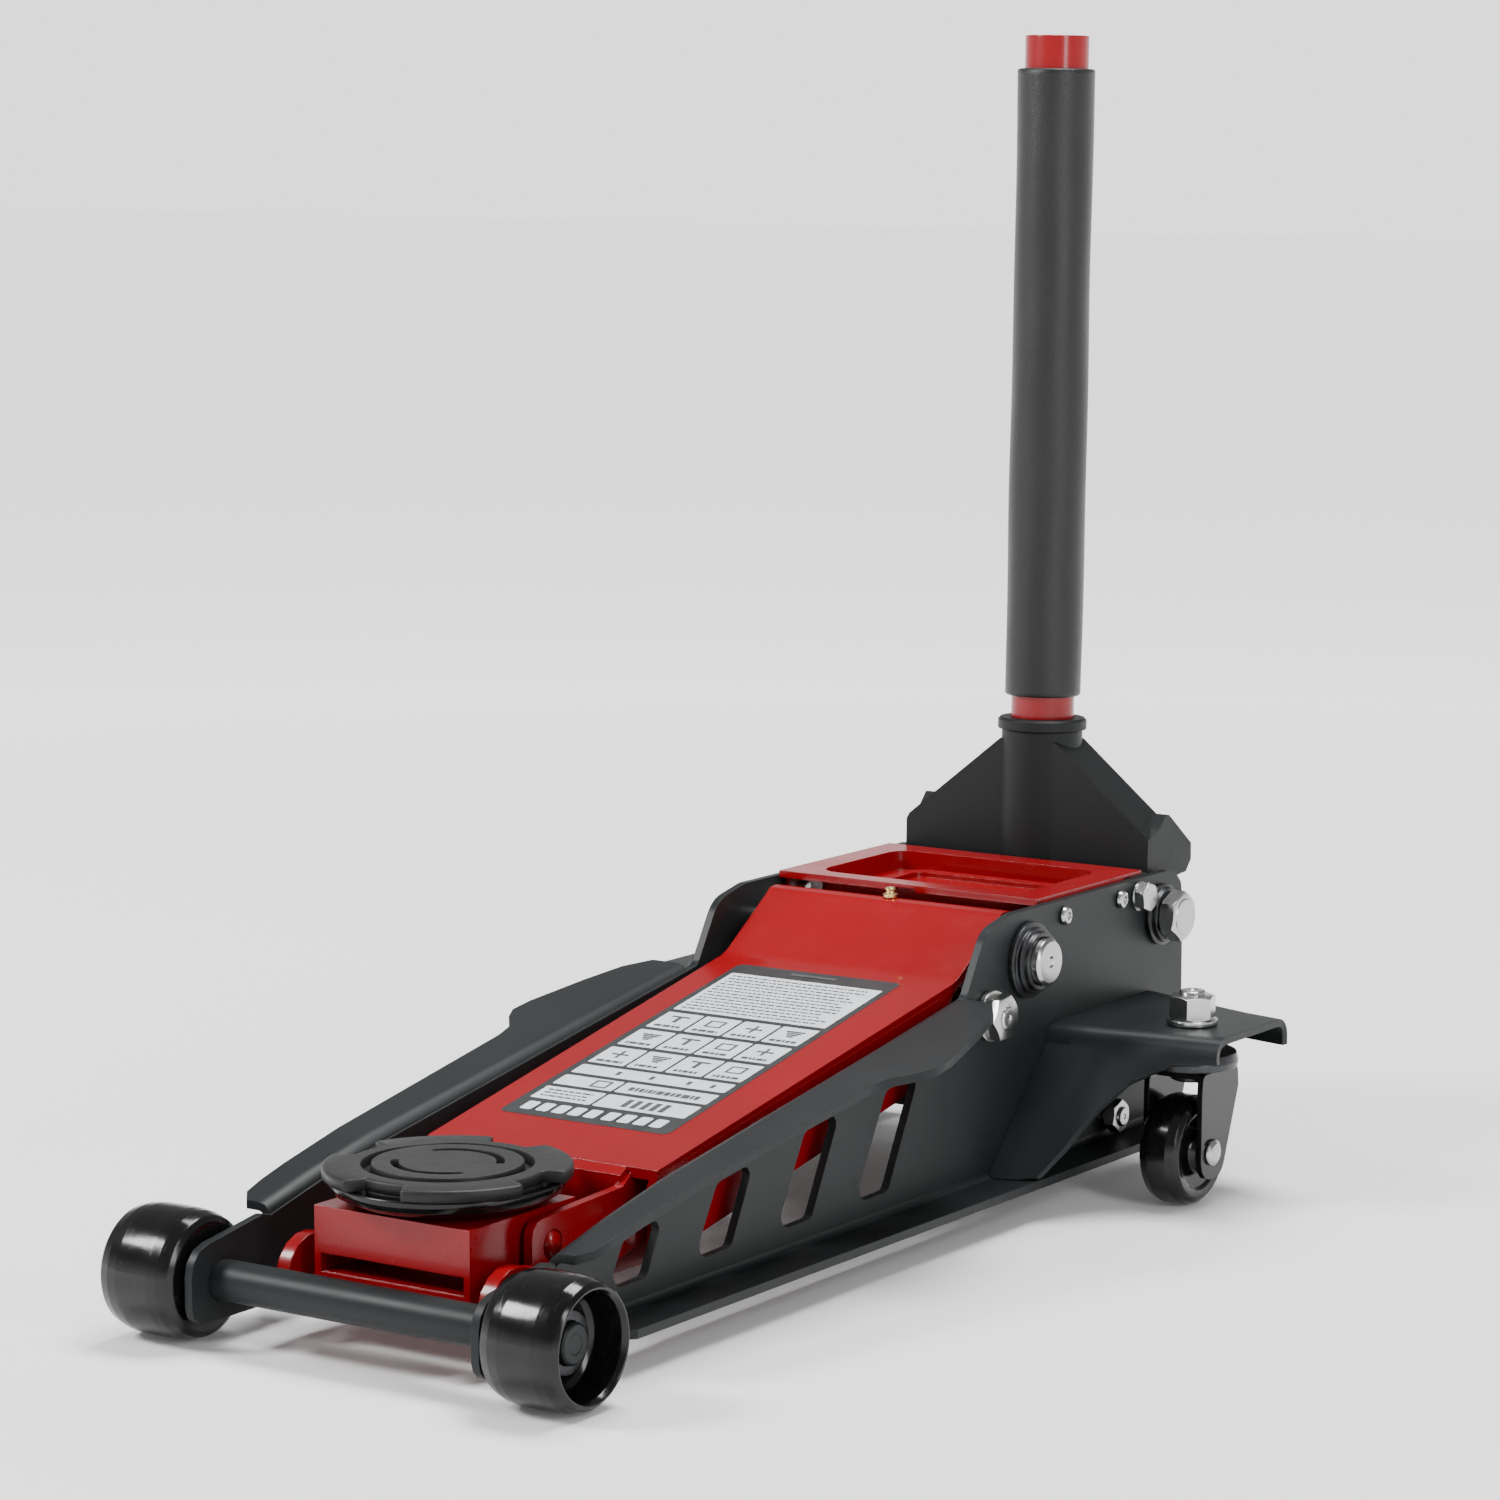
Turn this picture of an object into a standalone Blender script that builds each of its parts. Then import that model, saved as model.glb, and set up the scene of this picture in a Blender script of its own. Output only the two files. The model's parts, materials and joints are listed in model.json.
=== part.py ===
"""Hydraulic floor jack, long low-profile garage pattern.

Metres, +Z up, +X towards the saddle, +Y towards the jack's left side plate.
The origin is on the floor under the middle of the jack's bounding box.
Distances along the chassis are given behind the front axle, through back().
"""

import math

import bmesh
import bpy
from mathutils import Matrix, Vector

# ---------------------------------------------------------------- driving dimensions
FRONT_AXLE_X = 0.3388
GAP = 0.0003                      # running or seating gap between separate pieces

WHEEL_RADIUS = 0.0350
WHEEL_INNER_Y = 0.1000
WHEEL_OUTER_Y = 0.1490
AXLE_RADIUS = 0.0110
AXLE_HALF_LENGTH = 0.1380

WEB_INNER_Y = 0.0910              # inner face of a side plate
PLATE_THICKNESS = 0.0050
WEB_OUTER_Y = WEB_INNER_Y + PLATE_THICKNESS
FLANGE_EDGE_Y = 0.1240            # outer edge of the bottom flange
FLANGE_BOTTOM_Z = 0.0195
NOSE_BOTTOM_Z = 0.0140
PLATE_TOP_Z = 0.1760
PLATE_REAR = 0.6860               # rear edge of the side plates, behind the front axle
TOP_FLANGE_END = 0.4260           # where the top flange runs out into the plain web

ARM_PIVOT = (0.5020, 0.1465)      # (distance behind the front axle, height)
LINK_PIVOT = (0.4580, 0.1205)
YOKE_PIVOT = (0.6580, 0.1505)
SADDLE_BEHIND = 0.0750
ARM_FRONT_PIN = (0.0860, 0.0570)
LINK_FRONT_PIN = (
    ARM_FRONT_PIN[0] + LINK_PIVOT[0] - ARM_PIVOT[0],
    ARM_FRONT_PIN[1] + LINK_PIVOT[1] - ARM_PIVOT[1],
)
PIVOT_SHAFT_RADIUS = 0.0140
HUB_RADIUS = 0.0240

CASTER_STEM = (0.5700, 0.1680)    # (behind the front axle, out from the middle)
CASTER_TRAIL = 0.0100
CASTER_RADIUS = 0.0325
BRACKET_TOP_Z = 0.1050
BRACKET_OUTER_Y = 0.2030
BRACKET_THICKNESS = 0.0045
RACE_HEIGHT = 0.0195

HANDLE_LEAN = math.radians(1.5)   # the handle rests leaning slightly to the rear
HANDLE_OFFSET = 0.0167            # handle axis behind the yoke pivot
HANDLE_RADIUS = 0.0195
HANDLE_WALL = 0.0022
HANDLE_FOOT = 0.0420              # lower end of the handle, above the yoke pivot
HANDLE_END = 0.5300               # open upper end, where an extension would plug in
SLEEVE_RADIUS = 0.0240
SLEEVE_SPAN = (0.1260, 0.5100)

RAM_Z = 0.0920
CRANK_PIN = (0.5320, 0.0965)
LEVER_ROLLER_RADIUS = 0.0100


def back(distance):
    """X of a point that lies this far behind the front axle."""
    return FRONT_AXLE_X - distance


def clear_scene():
    for old in list(bpy.data.objects):
        bpy.data.objects.remove(old, do_unlink=True)


# ---------------------------------------------------------------- materials
PAINTS = {
    "chassis_paint": ((0.075, 0.085, 0.090), 0.42, 0.0),
    "red_paint": ((0.520, 0.012, 0.012), 0.28, 0.0),
    "zinc": ((0.700, 0.700, 0.670), 0.30, 1.0),
    "brass": ((0.700, 0.520, 0.240), 0.30, 1.0),
    "black_steel": ((0.015, 0.015, 0.016), 0.35, 0.6),
    "gloss_black": ((0.010, 0.010, 0.011), 0.15, 0.0),
    "wheel_black": ((0.012, 0.012, 0.013), 0.22, 0.0),
    "rubber": ((0.060, 0.060, 0.060), 0.65, 0.0),
    "foam": ((0.022, 0.023, 0.024), 0.85, 0.0),
    "spring_steel": ((0.350, 0.350, 0.340), 0.35, 1.0),
}


def paint(name):
    found = bpy.data.materials.get(name)
    if found:
        return found
    colour, roughness, metallic = PAINTS[name]
    made = bpy.data.materials.new(name)
    made.use_nodes = True
    shader = made.node_tree.nodes["Principled BSDF"]
    shader.inputs["Base Color"].default_value = (*colour, 1.0)
    shader.inputs["Roughness"].default_value = roughness
    shader.inputs["Metallic"].default_value = metallic
    return made


# ---------------------------------------------------------------- mesh helpers
def arc(centre, radius, start, end, steps):
    """Points on an arc, angles in degrees, both ends included."""
    points = []
    for i in range(steps + 1):
        angle = math.radians(start + (end - start) * i / steps)
        points.append((centre[0] + radius * math.cos(angle), centre[1] + radius * math.sin(angle)))
    return points


def rounded(corners, steps=4):
    """A closed outline from (a, b, radius) corners, each one replaced by a fillet."""
    outline = []
    count = len(corners)
    for i, (a, b, radius) in enumerate(corners):
        here = Vector((a, b))
        before = (Vector(corners[i - 1][:2]) - here).normalized()
        after = (Vector(corners[(i + 1) % count][:2]) - here).normalized()
        if radius <= 0.0:
            outline.append((a, b))
            continue
        half = before.angle(after) / 2.0
        reach = radius / math.tan(half)
        middle = here + (before + after).normalized() * radius / math.sin(half)
        first = here + before * reach - middle
        last = here + after * reach - middle
        turn = first.angle_signed(last)
        for k in range(steps + 1):
            step = first.copy()
            step.rotate(Matrix.Rotation(-turn * k / steps, 2))
            outline.append(tuple(middle + step))
    return outline


def new_object(name, bm, paint_name, origin=(0.0, 0.0, 0.0)):
    """Closed mesh made in world coordinates; the object's origin is moved to `origin`."""
    bmesh.ops.recalc_face_normals(bm, faces=bm.faces)
    bmesh.ops.translate(bm, verts=bm.verts, vec=-Vector(origin))
    mesh = bpy.data.meshes.new(name)
    bm.to_mesh(mesh)
    bm.free()
    mesh.materials.append(paint(paint_name))
    mesh.shade_smooth()
    mesh.set_sharp_from_angle(angle=math.radians(35.0))
    made = bpy.data.objects.new(name, mesh)
    made.location = origin
    bpy.context.scene.collection.objects.link(made)
    return made


def prism(outline, low, high, plane="XZ"):
    """A solid of constant section: an outline in a plane, pushed along the third axis."""
    bm = bmesh.new()

    def place(a, b, c):
        if plane == "XZ":
            return (a, c, b)
        if plane == "YZ":
            return (c, a, b)
        return (a, b, c)

    bottom = [bm.verts.new(place(a, b, low)) for a, b in outline]
    top = [bm.verts.new(place(a, b, high)) for a, b in outline]
    bm.faces.new(bottom)
    bm.faces.new(top)
    count = len(outline)
    for i in range(count):
        k = (i + 1) % count
        bm.faces.new((bottom[i], bottom[k], top[k], top[i]))
    return bm


def box(low, high):
    corners = [(low[0], low[1]), (high[0], low[1]), (high[0], high[1]), (low[0], high[1])]
    return prism(corners, low[2], high[2], "XY")


def frame_along(axis):
    """Two unit vectors square to an axis."""
    direction = Vector(axis).normalized()
    side = Vector((0.0, 0.0, 1.0)) if abs(direction.z) < 0.9 else Vector((1.0, 0.0, 0.0))
    first = direction.cross(side).normalized()
    return direction, first, direction.cross(first)


def turned(profile, centre, axis=(0.0, 1.0, 0.0), segments=24, closed=False):
    """A turned solid. The profile is (radius, distance along the axis); radius 0 ends it on the axis.

    With closed set, the profile is a loop and the solid is a ring.
    """
    bm = bmesh.new()
    direction, first, second = frame_along(axis)
    rings = []
    for radius, along in profile:
        middle = Vector(centre) + direction * along
        if radius <= 0.0:
            rings.append([bm.verts.new(middle)])
            continue
        ring = []
        for i in range(segments):
            angle = 2.0 * math.pi * i / segments
            offset = first * math.cos(angle) + second * math.sin(angle)
            ring.append(bm.verts.new(middle + offset * radius))
        rings.append(ring)
    pairs = list(zip(rings, rings[1:]))
    if closed:
        pairs.append((rings[-1], rings[0]))
    for low, high in pairs:
        for i in range(segments):
            k = (i + 1) % segments
            if len(low) == 1:
                bm.faces.new((low[0], high[k], high[i]))
            elif len(high) == 1:
                bm.faces.new((low[i], low[k], high[0]))
            else:
                bm.faces.new((low[i], low[k], high[k], high[i]))
    return bm


def rod(radius, start, end, centre, axis=(0.0, 1.0, 0.0), segments=18, chamfer=0.0):
    """A round bar from start to end along its axis, with an optional chamfer at both ends."""
    if chamfer <= 0.0:
        profile = [(0.0, start), (radius, start), (radius, end), (0.0, end)]
    else:
        profile = [
            (0.0, start),
            (radius - chamfer, start),
            (radius, start + chamfer),
            (radius, end - chamfer),
            (radius - chamfer, end),
            (0.0, end),
        ]
    return turned(profile, centre, axis, segments)


def ring(inner, outer, start, end, centre, axis=(0.0, 1.0, 0.0), segments=24):
    profile = [(inner, start), (outer, start), (outer, end), (inner, end)]
    return turned(profile, centre, axis, segments, closed=True)


def hexagon(across_flats, start, end, centre, axis=(0.0, 1.0, 0.0), turn=0.0):
    """A hexagon head or nut, with its corners rounded off at the outer end."""
    direction, first, second = frame_along(axis)
    bm = bmesh.new()
    corner = across_flats / math.sqrt(3.0)
    loops = []
    for along, scale in ((start, 1.0), (end, 1.0)):
        loop = []
        for i in range(6):
            angle = math.radians(60.0 * i + turn)
            offset = first * math.cos(angle) + second * math.sin(angle)
            loop.append(bm.verts.new(Vector(centre) + direction * along + offset * corner * scale))
        loops.append(loop)
    bm.faces.new(loops[0])
    bm.faces.new(loops[1])
    for i in range(6):
        k = (i + 1) % 6
        bm.faces.new((loops[0][i], loops[0][k], loops[1][k], loops[1][i]))
    return bm


def temporary(bm):
    bmesh.ops.recalc_face_normals(bm, faces=bm.faces)
    mesh = bpy.data.meshes.new("temporary")
    bm.to_mesh(mesh)
    bm.free()
    made = bpy.data.objects.new("temporary", mesh)
    bpy.context.scene.collection.objects.link(made)
    return made


def combine(base, others, operation):
    """Boolean of bmeshes, done by the modifier and baked; returns a bmesh."""
    target = temporary(base)
    tools = [temporary(other) for other in others]
    for tool in tools:
        modifier = target.modifiers.new("join", "BOOLEAN")
        modifier.operation = operation
        modifier.solver = "EXACT"
        modifier.object = tool
    bpy.context.view_layer.update()
    graph = bpy.context.evaluated_depsgraph_get()
    mesh = bpy.data.meshes.new_from_object(target.evaluated_get(graph))
    result = bmesh.new()
    result.from_mesh(mesh)
    for used in [target] + tools:
        bpy.data.objects.remove(used, do_unlink=True)
    bmesh.ops.remove_doubles(result, verts=result.verts, dist=1e-6)
    return result


def joined(base, *others):
    return combine(base, others, "UNION")


def cut(base, *others):
    return combine(base, others, "DIFFERENCE")


def mirrored(bm):
    """The same solid on the other side of the middle plane."""
    other = bm.copy()
    for vert in other.verts:
        vert.co.y = -vert.co.y
    bmesh.ops.reverse_faces(other, faces=other.faces)
    return other


def both_sides(name, bm, paint_name, origin=(0.0, 0.0, 0.0)):
    """Left (+Y) and right (-Y) copies of a piece, as two objects."""
    opposite = mirrored(bm)
    left = new_object(name + "_left", bm, paint_name, origin)
    right = new_object(name + "_right", opposite, paint_name, (origin[0], -origin[1], origin[2]))
    return left, right


# ---------------------------------------------------------------- chassis
TOP_EDGE = (
    (0.0380, 0.0670),
    (0.0820, 0.0780),
    (0.1315, 0.0884),
    (TOP_FLANGE_END, 0.1357),
)
FLANGE_PLAN = (                   # outer edge of the top flange: (behind the axle, out from the middle)
    (0.0400, 0.1080),
    (0.0480, 0.1145),
    (0.0620, 0.1165),
    (0.1300, 0.1190),
    (0.2000, 0.1225),
    (0.2850, 0.1260),
    (0.2990, 0.1290),
    (0.3130, 0.1400),
    (0.3240, 0.1455),
    (0.3400, 0.1450),
    (0.3800, 0.1370),
    (0.4100, 0.1290),
    (0.4260, 0.1180),
)


def height_of_top_edge(distance):
    for (near, low), (far, high) in zip(TOP_EDGE, TOP_EDGE[1:]):
        if distance <= far:
            part = (distance - near) / (far - near)
            return low + part * (high - low)
    return TOP_EDGE[-1][1]


def web_outline():
    """Side view of a side plate: nose round the axle, sloping top edge, tall rear end."""
    drop = 0.0060
    corners = [
        (back(-0.0245), NOSE_BOTTOM_Z, 0.0100),
        (back(-0.0245), 0.0540, 0.0160),
        (back(0.0330), 0.0630, 0.0035),
        (back(0.0400), height_of_top_edge(0.0400) - drop, 0.0),
        (back(0.0820), height_of_top_edge(0.0820) - drop, 0.0),
        (back(0.1315), height_of_top_edge(0.1315) - drop, 0.0),
        (back(TOP_FLANGE_END + 0.0080), height_of_top_edge(TOP_FLANGE_END) - 0.0020, 0.0080),
        (back(0.4560), 0.1700, 0.0200),
        (back(0.4850), PLATE_TOP_Z, 0.0240),
        (back(PLATE_REAR), PLATE_TOP_Z, 0.0180),
        (back(PLATE_REAR), FLANGE_BOTTOM_Z, 0.0100),
        (back(0.0500), FLANGE_BOTTOM_Z, 0.0080),
        (back(0.0420), NOSE_BOTTOM_Z, 0.0080),
    ]
    return rounded(corners, 3)


def flange_strip(stations, edge_y, edge_z, leg, upward):
    """An L-shaped strip: a leg inside the web, a rounded bend and the flange itself."""
    bend = 0.0090
    inset = 0.00005
    inner = WEB_INNER_Y + inset
    outer = WEB_OUTER_Y - inset
    sign = 1.0 if upward else -1.0
    bm = bmesh.new()
    sections = []
    for distance in stations:
        z = edge_z(distance)
        y_end = edge_y(distance)
        section = [(inner, z - sign * leg)]
        for k in range(4):
            angle = math.radians(90.0 * k / 3)
            y = inner + bend - bend * math.cos(angle)
            section.append((y, z - sign * (bend - bend * math.sin(angle))))
        section.append((y_end, z))
        section.append((y_end, z - sign * PLATE_THICKNESS))
        small = bend - PLATE_THICKNESS
        for k in range(4):
            angle = math.radians(90.0 - 90.0 * k / 3)
            y = outer + small - small * math.cos(angle)
            section.append((y, z - sign * (bend - small * math.sin(angle))))
        section.append((outer, z - sign * leg))
        sections.append([bm.verts.new((back(distance), y, height)) for y, height in section])
    for near, far in zip(sections, sections[1:]):
        count = len(near)
        for i in range(count):
            k = (i + 1) % count
            bm.faces.new((near[i], near[k], far[k], far[i]))
    bm.faces.new(sections[0])
    bm.faces.new(sections[-1])
    return bm


def flange_width_at(distance):
    for (near, low), (far, high) in zip(FLANGE_PLAN, FLANGE_PLAN[1:]):
        if distance <= far:
            part = (distance - near) / (far - near)
            return low + part * (high - low)
    return FLANGE_PLAN[-1][1]


def window(number):
    """One of the four slanted windows; they grow towards the rear."""
    front = 0.0840 + 0.0777 * number
    width = 0.0350
    lean = 0.53
    low = 0.0370
    middle = front + width
    high = min(height_of_top_edge(middle + 0.012) - 0.0225, 0.0985)
    rise = high - low
    corners = [
        (back(front), low, 0.0070),
        (back(front + width), low + 0.0010, 0.0050),
        (back(front + width + rise * lean), high + 0.0020, 0.0050),
        (back(front + rise * lean), high - 0.0030, 0.0070),
    ]
    return prism(rounded(corners, 3), WEB_INNER_Y - 0.005, WEB_OUTER_Y + 0.005)


def plate_hole(spot, radius, segments=18):
    centre = (back(spot[0]), 0.0, spot[1])
    return rod(radius, WEB_INNER_Y - 0.004, WEB_OUTER_Y + 0.004, centre, segments=segments)


TRAY_SCREWS = ((0.5433, 0.1665), (0.6094, 0.1665))
STAY_BOLT = (0.6310, 0.1655)
UNIT_BOLT = (0.5970, 0.0370)


def side_plates():
    web = prism(web_outline(), WEB_INNER_Y, WEB_OUTER_Y)
    plan = [distance for distance, _ in FLANGE_PLAN]
    plan = sorted(set(plan + [0.0820, 0.1315]))
    top = flange_strip(plan, flange_width_at, height_of_top_edge, 0.0140, True)
    bottom_stations = [0.0560, 0.0620, 0.0720, PLATE_REAR - 0.0120]

    def bottom_edge(distance):
        return FLANGE_EDGE_Y - max(0.0, 0.0720 - distance) * 0.9

    bottom = flange_strip(
        bottom_stations, bottom_edge, lambda distance: FLANGE_BOTTOM_Z, 0.0140, False
    )
    plate = joined(web, top, bottom)
    holes = [window(number) for number in range(4)]
    holes.append(plate_hole((0.0, WHEEL_RADIUS), AXLE_RADIUS + GAP, 24))
    holes.append(plate_hole(ARM_PIVOT, PIVOT_SHAFT_RADIUS + GAP, 24))
    holes.append(plate_hole(LINK_PIVOT, 0.0073, 16))
    holes.append(plate_hole(YOKE_PIVOT, 0.0083, 16))
    holes.append(plate_hole(STAY_BOLT, 0.0053, 12))
    holes.append(plate_hole(UNIT_BOLT, 0.0063, 12))
    for screw in TRAY_SCREWS:
        holes.append(plate_hole(screw, 0.0033, 12))
    both_sides("side_plate", cut(plate, *holes), "chassis_paint")


def front_axle():
    centre = (back(0.0), 0.0, WHEEL_RADIUS)
    bar = rod(AXLE_RADIUS, -AXLE_HALF_LENGTH, AXLE_HALF_LENGTH, centre, segments=18, chamfer=0.001)
    new_object("front_axle", bar, "chassis_paint", centre)
    clip = ring(AXLE_RADIUS + GAP, 0.0165, 0.1318, 0.1338, centre)
    both_sides("wheel_clip", clip, "black_steel")


def front_wheels():
    """Drum-like wheels with a crowned tread, a deep outer recess and a closed inner side."""
    bore = AXLE_RADIUS + GAP
    inner = WHEEL_INNER_Y
    outer = WHEEL_OUTER_Y
    rim = WHEEL_RADIUS - 0.0022
    profile = [
        (bore, inner + 0.0010),
        (0.0240, inner),
        (rim - 0.0040, inner),
        (rim - 0.0008, inner + 0.0020),
        (WHEEL_RADIUS - 0.0008, inner + 0.0080),
        (WHEEL_RADIUS, inner + 0.0180),
        (WHEEL_RADIUS, outer - 0.0180),
        (WHEEL_RADIUS - 0.0008, outer - 0.0080),
        (rim - 0.0006, outer - 0.0020),
        (rim - 0.0030, outer),
        (0.0285, outer),
        (0.0270, outer - 0.0030),
        (0.0262, outer - 0.0200),
        (0.0190, outer - 0.0220),
        (0.0180, outer - 0.0178),
        (bore, outer - 0.0178),
    ]
    centre = (back(0.0), 0.0, WHEEL_RADIUS)
    wheel = turned(profile, centre, segments=24, closed=True)
    both_sides("front_wheel", wheel, "wheel_black", (back(0.0), 0.1245, WHEEL_RADIUS))


def arm_pivot_shaft():
    centre = (back(ARM_PIVOT[0]), 0.0, ARM_PIVOT[1])
    bar = rod(PIVOT_SHAFT_RADIUS, -0.1120, 0.1120, centre, segments=18, chamfer=0.0012)
    new_object("arm_pivot_shaft", bar, "zinc", centre)
    hole = PIVOT_SHAFT_RADIUS + GAP
    profile = [
        (hole, WEB_OUTER_Y + GAP),
        (0.0225, WEB_OUTER_Y + GAP),
        (0.0225, WEB_OUTER_Y + 0.0035),
        (0.0195, WEB_OUTER_Y + 0.0040),
        (0.0195, WEB_OUTER_Y + 0.0068),
        (0.0175, WEB_OUTER_Y + 0.0073),
        (0.0175, WEB_OUTER_Y + 0.0105),
        (hole, WEB_OUTER_Y + 0.0105),
    ]
    collar = turned(profile, centre, segments=18, closed=True)
    both_sides("pivot_collar", collar, "black_steel")


def link_pivot_bolts():
    """Bolts that carry the rear eyes of the torque links, with their nuts outside the plates."""
    centre = (back(LINK_PIVOT[0]), 0.0, LINK_PIVOT[1])
    bolt = joined(
        hexagon(0.0240, WEB_OUTER_Y + 0.0025, WEB_OUTER_Y + 0.0125, centre, turn=12.0),
        rod(0.0150, WEB_OUTER_Y + GAP, WEB_OUTER_Y + 0.0028, centre, segments=16),
        rod(0.0070, LINK_INNER_Y + 0.0005, WEB_OUTER_Y + 0.0145, centre, segments=12),
    )
    both_sides("link_pivot_bolt", bolt, "zinc")


def yoke_pivot_bolts():
    centre = (back(YOKE_PIVOT[0]), 0.0, YOKE_PIVOT[1])
    bolt = joined(
        hexagon(0.0270, WEB_OUTER_Y + 0.0070, WEB_OUTER_Y + 0.0180, centre, turn=8.0),
        rod(0.0080, 0.0740, WEB_OUTER_Y + 0.0080, centre, segments=18),
    )
    both_sides("yoke_pivot_bolt", bolt, "zinc")
    profile = [
        (0.0083, WEB_OUTER_Y + GAP),
        (0.0188, WEB_OUTER_Y + GAP),
        (0.0188, WEB_OUTER_Y + 0.0030),
        (0.0165, WEB_OUTER_Y + 0.0034),
        (0.0165, WEB_OUTER_Y + 0.0066),
        (0.0083, WEB_OUTER_Y + 0.0066),
    ]
    washer = turned(profile, centre, segments=18, closed=True)
    both_sides("yoke_pivot_washer", washer, "black_steel")


def stay_bolts():
    """Short bolts that tie the tray's rear corners to the plates."""
    centre = (back(STAY_BOLT[0]), 0.0, STAY_BOLT[1])
    bolt = joined(
        rod(0.0050, 0.0770, WEB_OUTER_Y + 0.0030, centre, segments=12),
        rod(0.0090, WEB_OUTER_Y + GAP, WEB_OUTER_Y + 0.0020, centre, segments=18),
        hexagon(0.0160, WEB_OUTER_Y + 0.0018, WEB_OUTER_Y + 0.0090, centre, turn=20.0),
    )
    both_sides("stay_bolt", bolt, "zinc")


def unit_bolt():
    """The long bolt through both plates that holds the foot of the hydraulic unit."""
    centre = (back(UNIT_BOLT[0]), 0.0, UNIT_BOLT[1])
    reach = WEB_OUTER_Y + 0.0120
    parts = [rod(0.0060, -reach, reach, centre, segments=12)]
    for side in (-1.0, 1.0):
        start = side * (WEB_OUTER_Y + GAP)
        seat = side * (WEB_OUTER_Y + 0.0026)
        end = side * (WEB_OUTER_Y + 0.0100)
        parts.append(rod(0.0083, min(start, seat), max(start, seat), centre, segments=16))
        nut = (side * (WEB_OUTER_Y + 0.0024), end)
        parts.append(hexagon(0.0180, min(nut), max(nut), centre, turn=5.0))
    new_object("unit_mounting_bolt", joined(parts[0], *parts[1:]), "zinc", centre)


def tray_cover():
    """Pressed tray between the plates: a shallow rounded recess with a raised loop rib on its floor."""
    front = 0.5200
    rear = 0.6440
    top = 0.1790
    sheet = 0.0022
    half = WEB_INNER_Y - GAP
    deep = 0.1670
    shell = box((back(rear), -half, top - sheet), (back(front), half, top))
    skirts = []
    for side in (-1.0, 1.0):
        low, high = sorted((side * half, side * (half - sheet)))
        skirts.append(box((back(0.6230), low, 0.1570), (back(0.5270), high, top - sheet / 2.0)))
    lip = cut(
        box((back(front + sheet), -half, 0.1748), (back(front), half, top - sheet / 2.0)),
        box((back(front + 0.01), -0.0070, 0.1600), (back(front - 0.01), 0.0070, top - sheet * 0.7)),
    )
    recess_outer = rounded(
        [
            (back(0.6290), -0.0740, 0.0160),
            (back(0.5310), -0.0740, 0.0160),
            (back(0.5310), 0.0740, 0.0160),
            (back(0.6290), 0.0740, 0.0160),
        ],
        5,
    )
    recess_inner = rounded(
        [
            (back(0.6268), -0.0718, 0.0138),
            (back(0.5332), -0.0718, 0.0138),
            (back(0.5332), 0.0718, 0.0138),
            (back(0.6268), 0.0718, 0.0138),
        ],
        5,
    )
    tub = prism(recess_outer, deep - sheet, top - sheet / 2.0, "XY")
    hollow = prism(recess_inner, deep, top + 0.0050, "XY")
    loop_outer = rounded(
        [
            (back(0.6180), -0.0560, 0.0150),
            (back(0.5480), -0.0560, 0.0150),
            (back(0.5480), 0.0560, 0.0150),
            (back(0.6180), 0.0560, 0.0150),
        ],
        5,
    )
    loop_inner = rounded(
        [
            (back(0.6090), -0.0470, 0.0070),
            (back(0.5570), -0.0470, 0.0070),
            (back(0.5570), 0.0470, 0.0070),
            (back(0.6090), 0.0470, 0.0070),
        ],
        5,
    )
    rib = cut(
        prism(loop_outer, deep - sheet / 2.0, deep + 0.0030, "XY"),
        prism(loop_inner, deep - 0.0100, deep + 0.0100, "XY"),
    )
    tray = cut(joined(shell, tub, lip, *skirts), hollow)
    tray = joined(tray, rib)
    holes = []
    for screw in TRAY_SCREWS:
        centre = (back(screw[0]), 0.0, screw[1])
        for side in (-1.0, 1.0):
            span = sorted((side * (half - 0.008), side * (half + 0.004)))
            holes.append(rod(0.0033, span[0], span[1], centre, segments=10))
    new_object("tray_cover", cut(tray, *holes), "red_paint")
    for place, screw in zip(("front", "rear"), TRAY_SCREWS):
        centre = (back(screw[0]), 0.0, screw[1])
        profile = [
            (0.0, WEB_INNER_Y - 0.0060),
            (0.0030, WEB_INNER_Y - 0.0060),
            (0.0030, WEB_OUTER_Y + GAP),
            (0.0056, WEB_OUTER_Y + GAP),
            (0.0056, WEB_OUTER_Y + 0.0016),
            (0.0044, WEB_OUTER_Y + 0.0032),
            (0.0, WEB_OUTER_Y + 0.0038),
        ]
        both_sides("tray_screw_" + place, turned(profile, centre, segments=12), "zinc")


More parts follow.
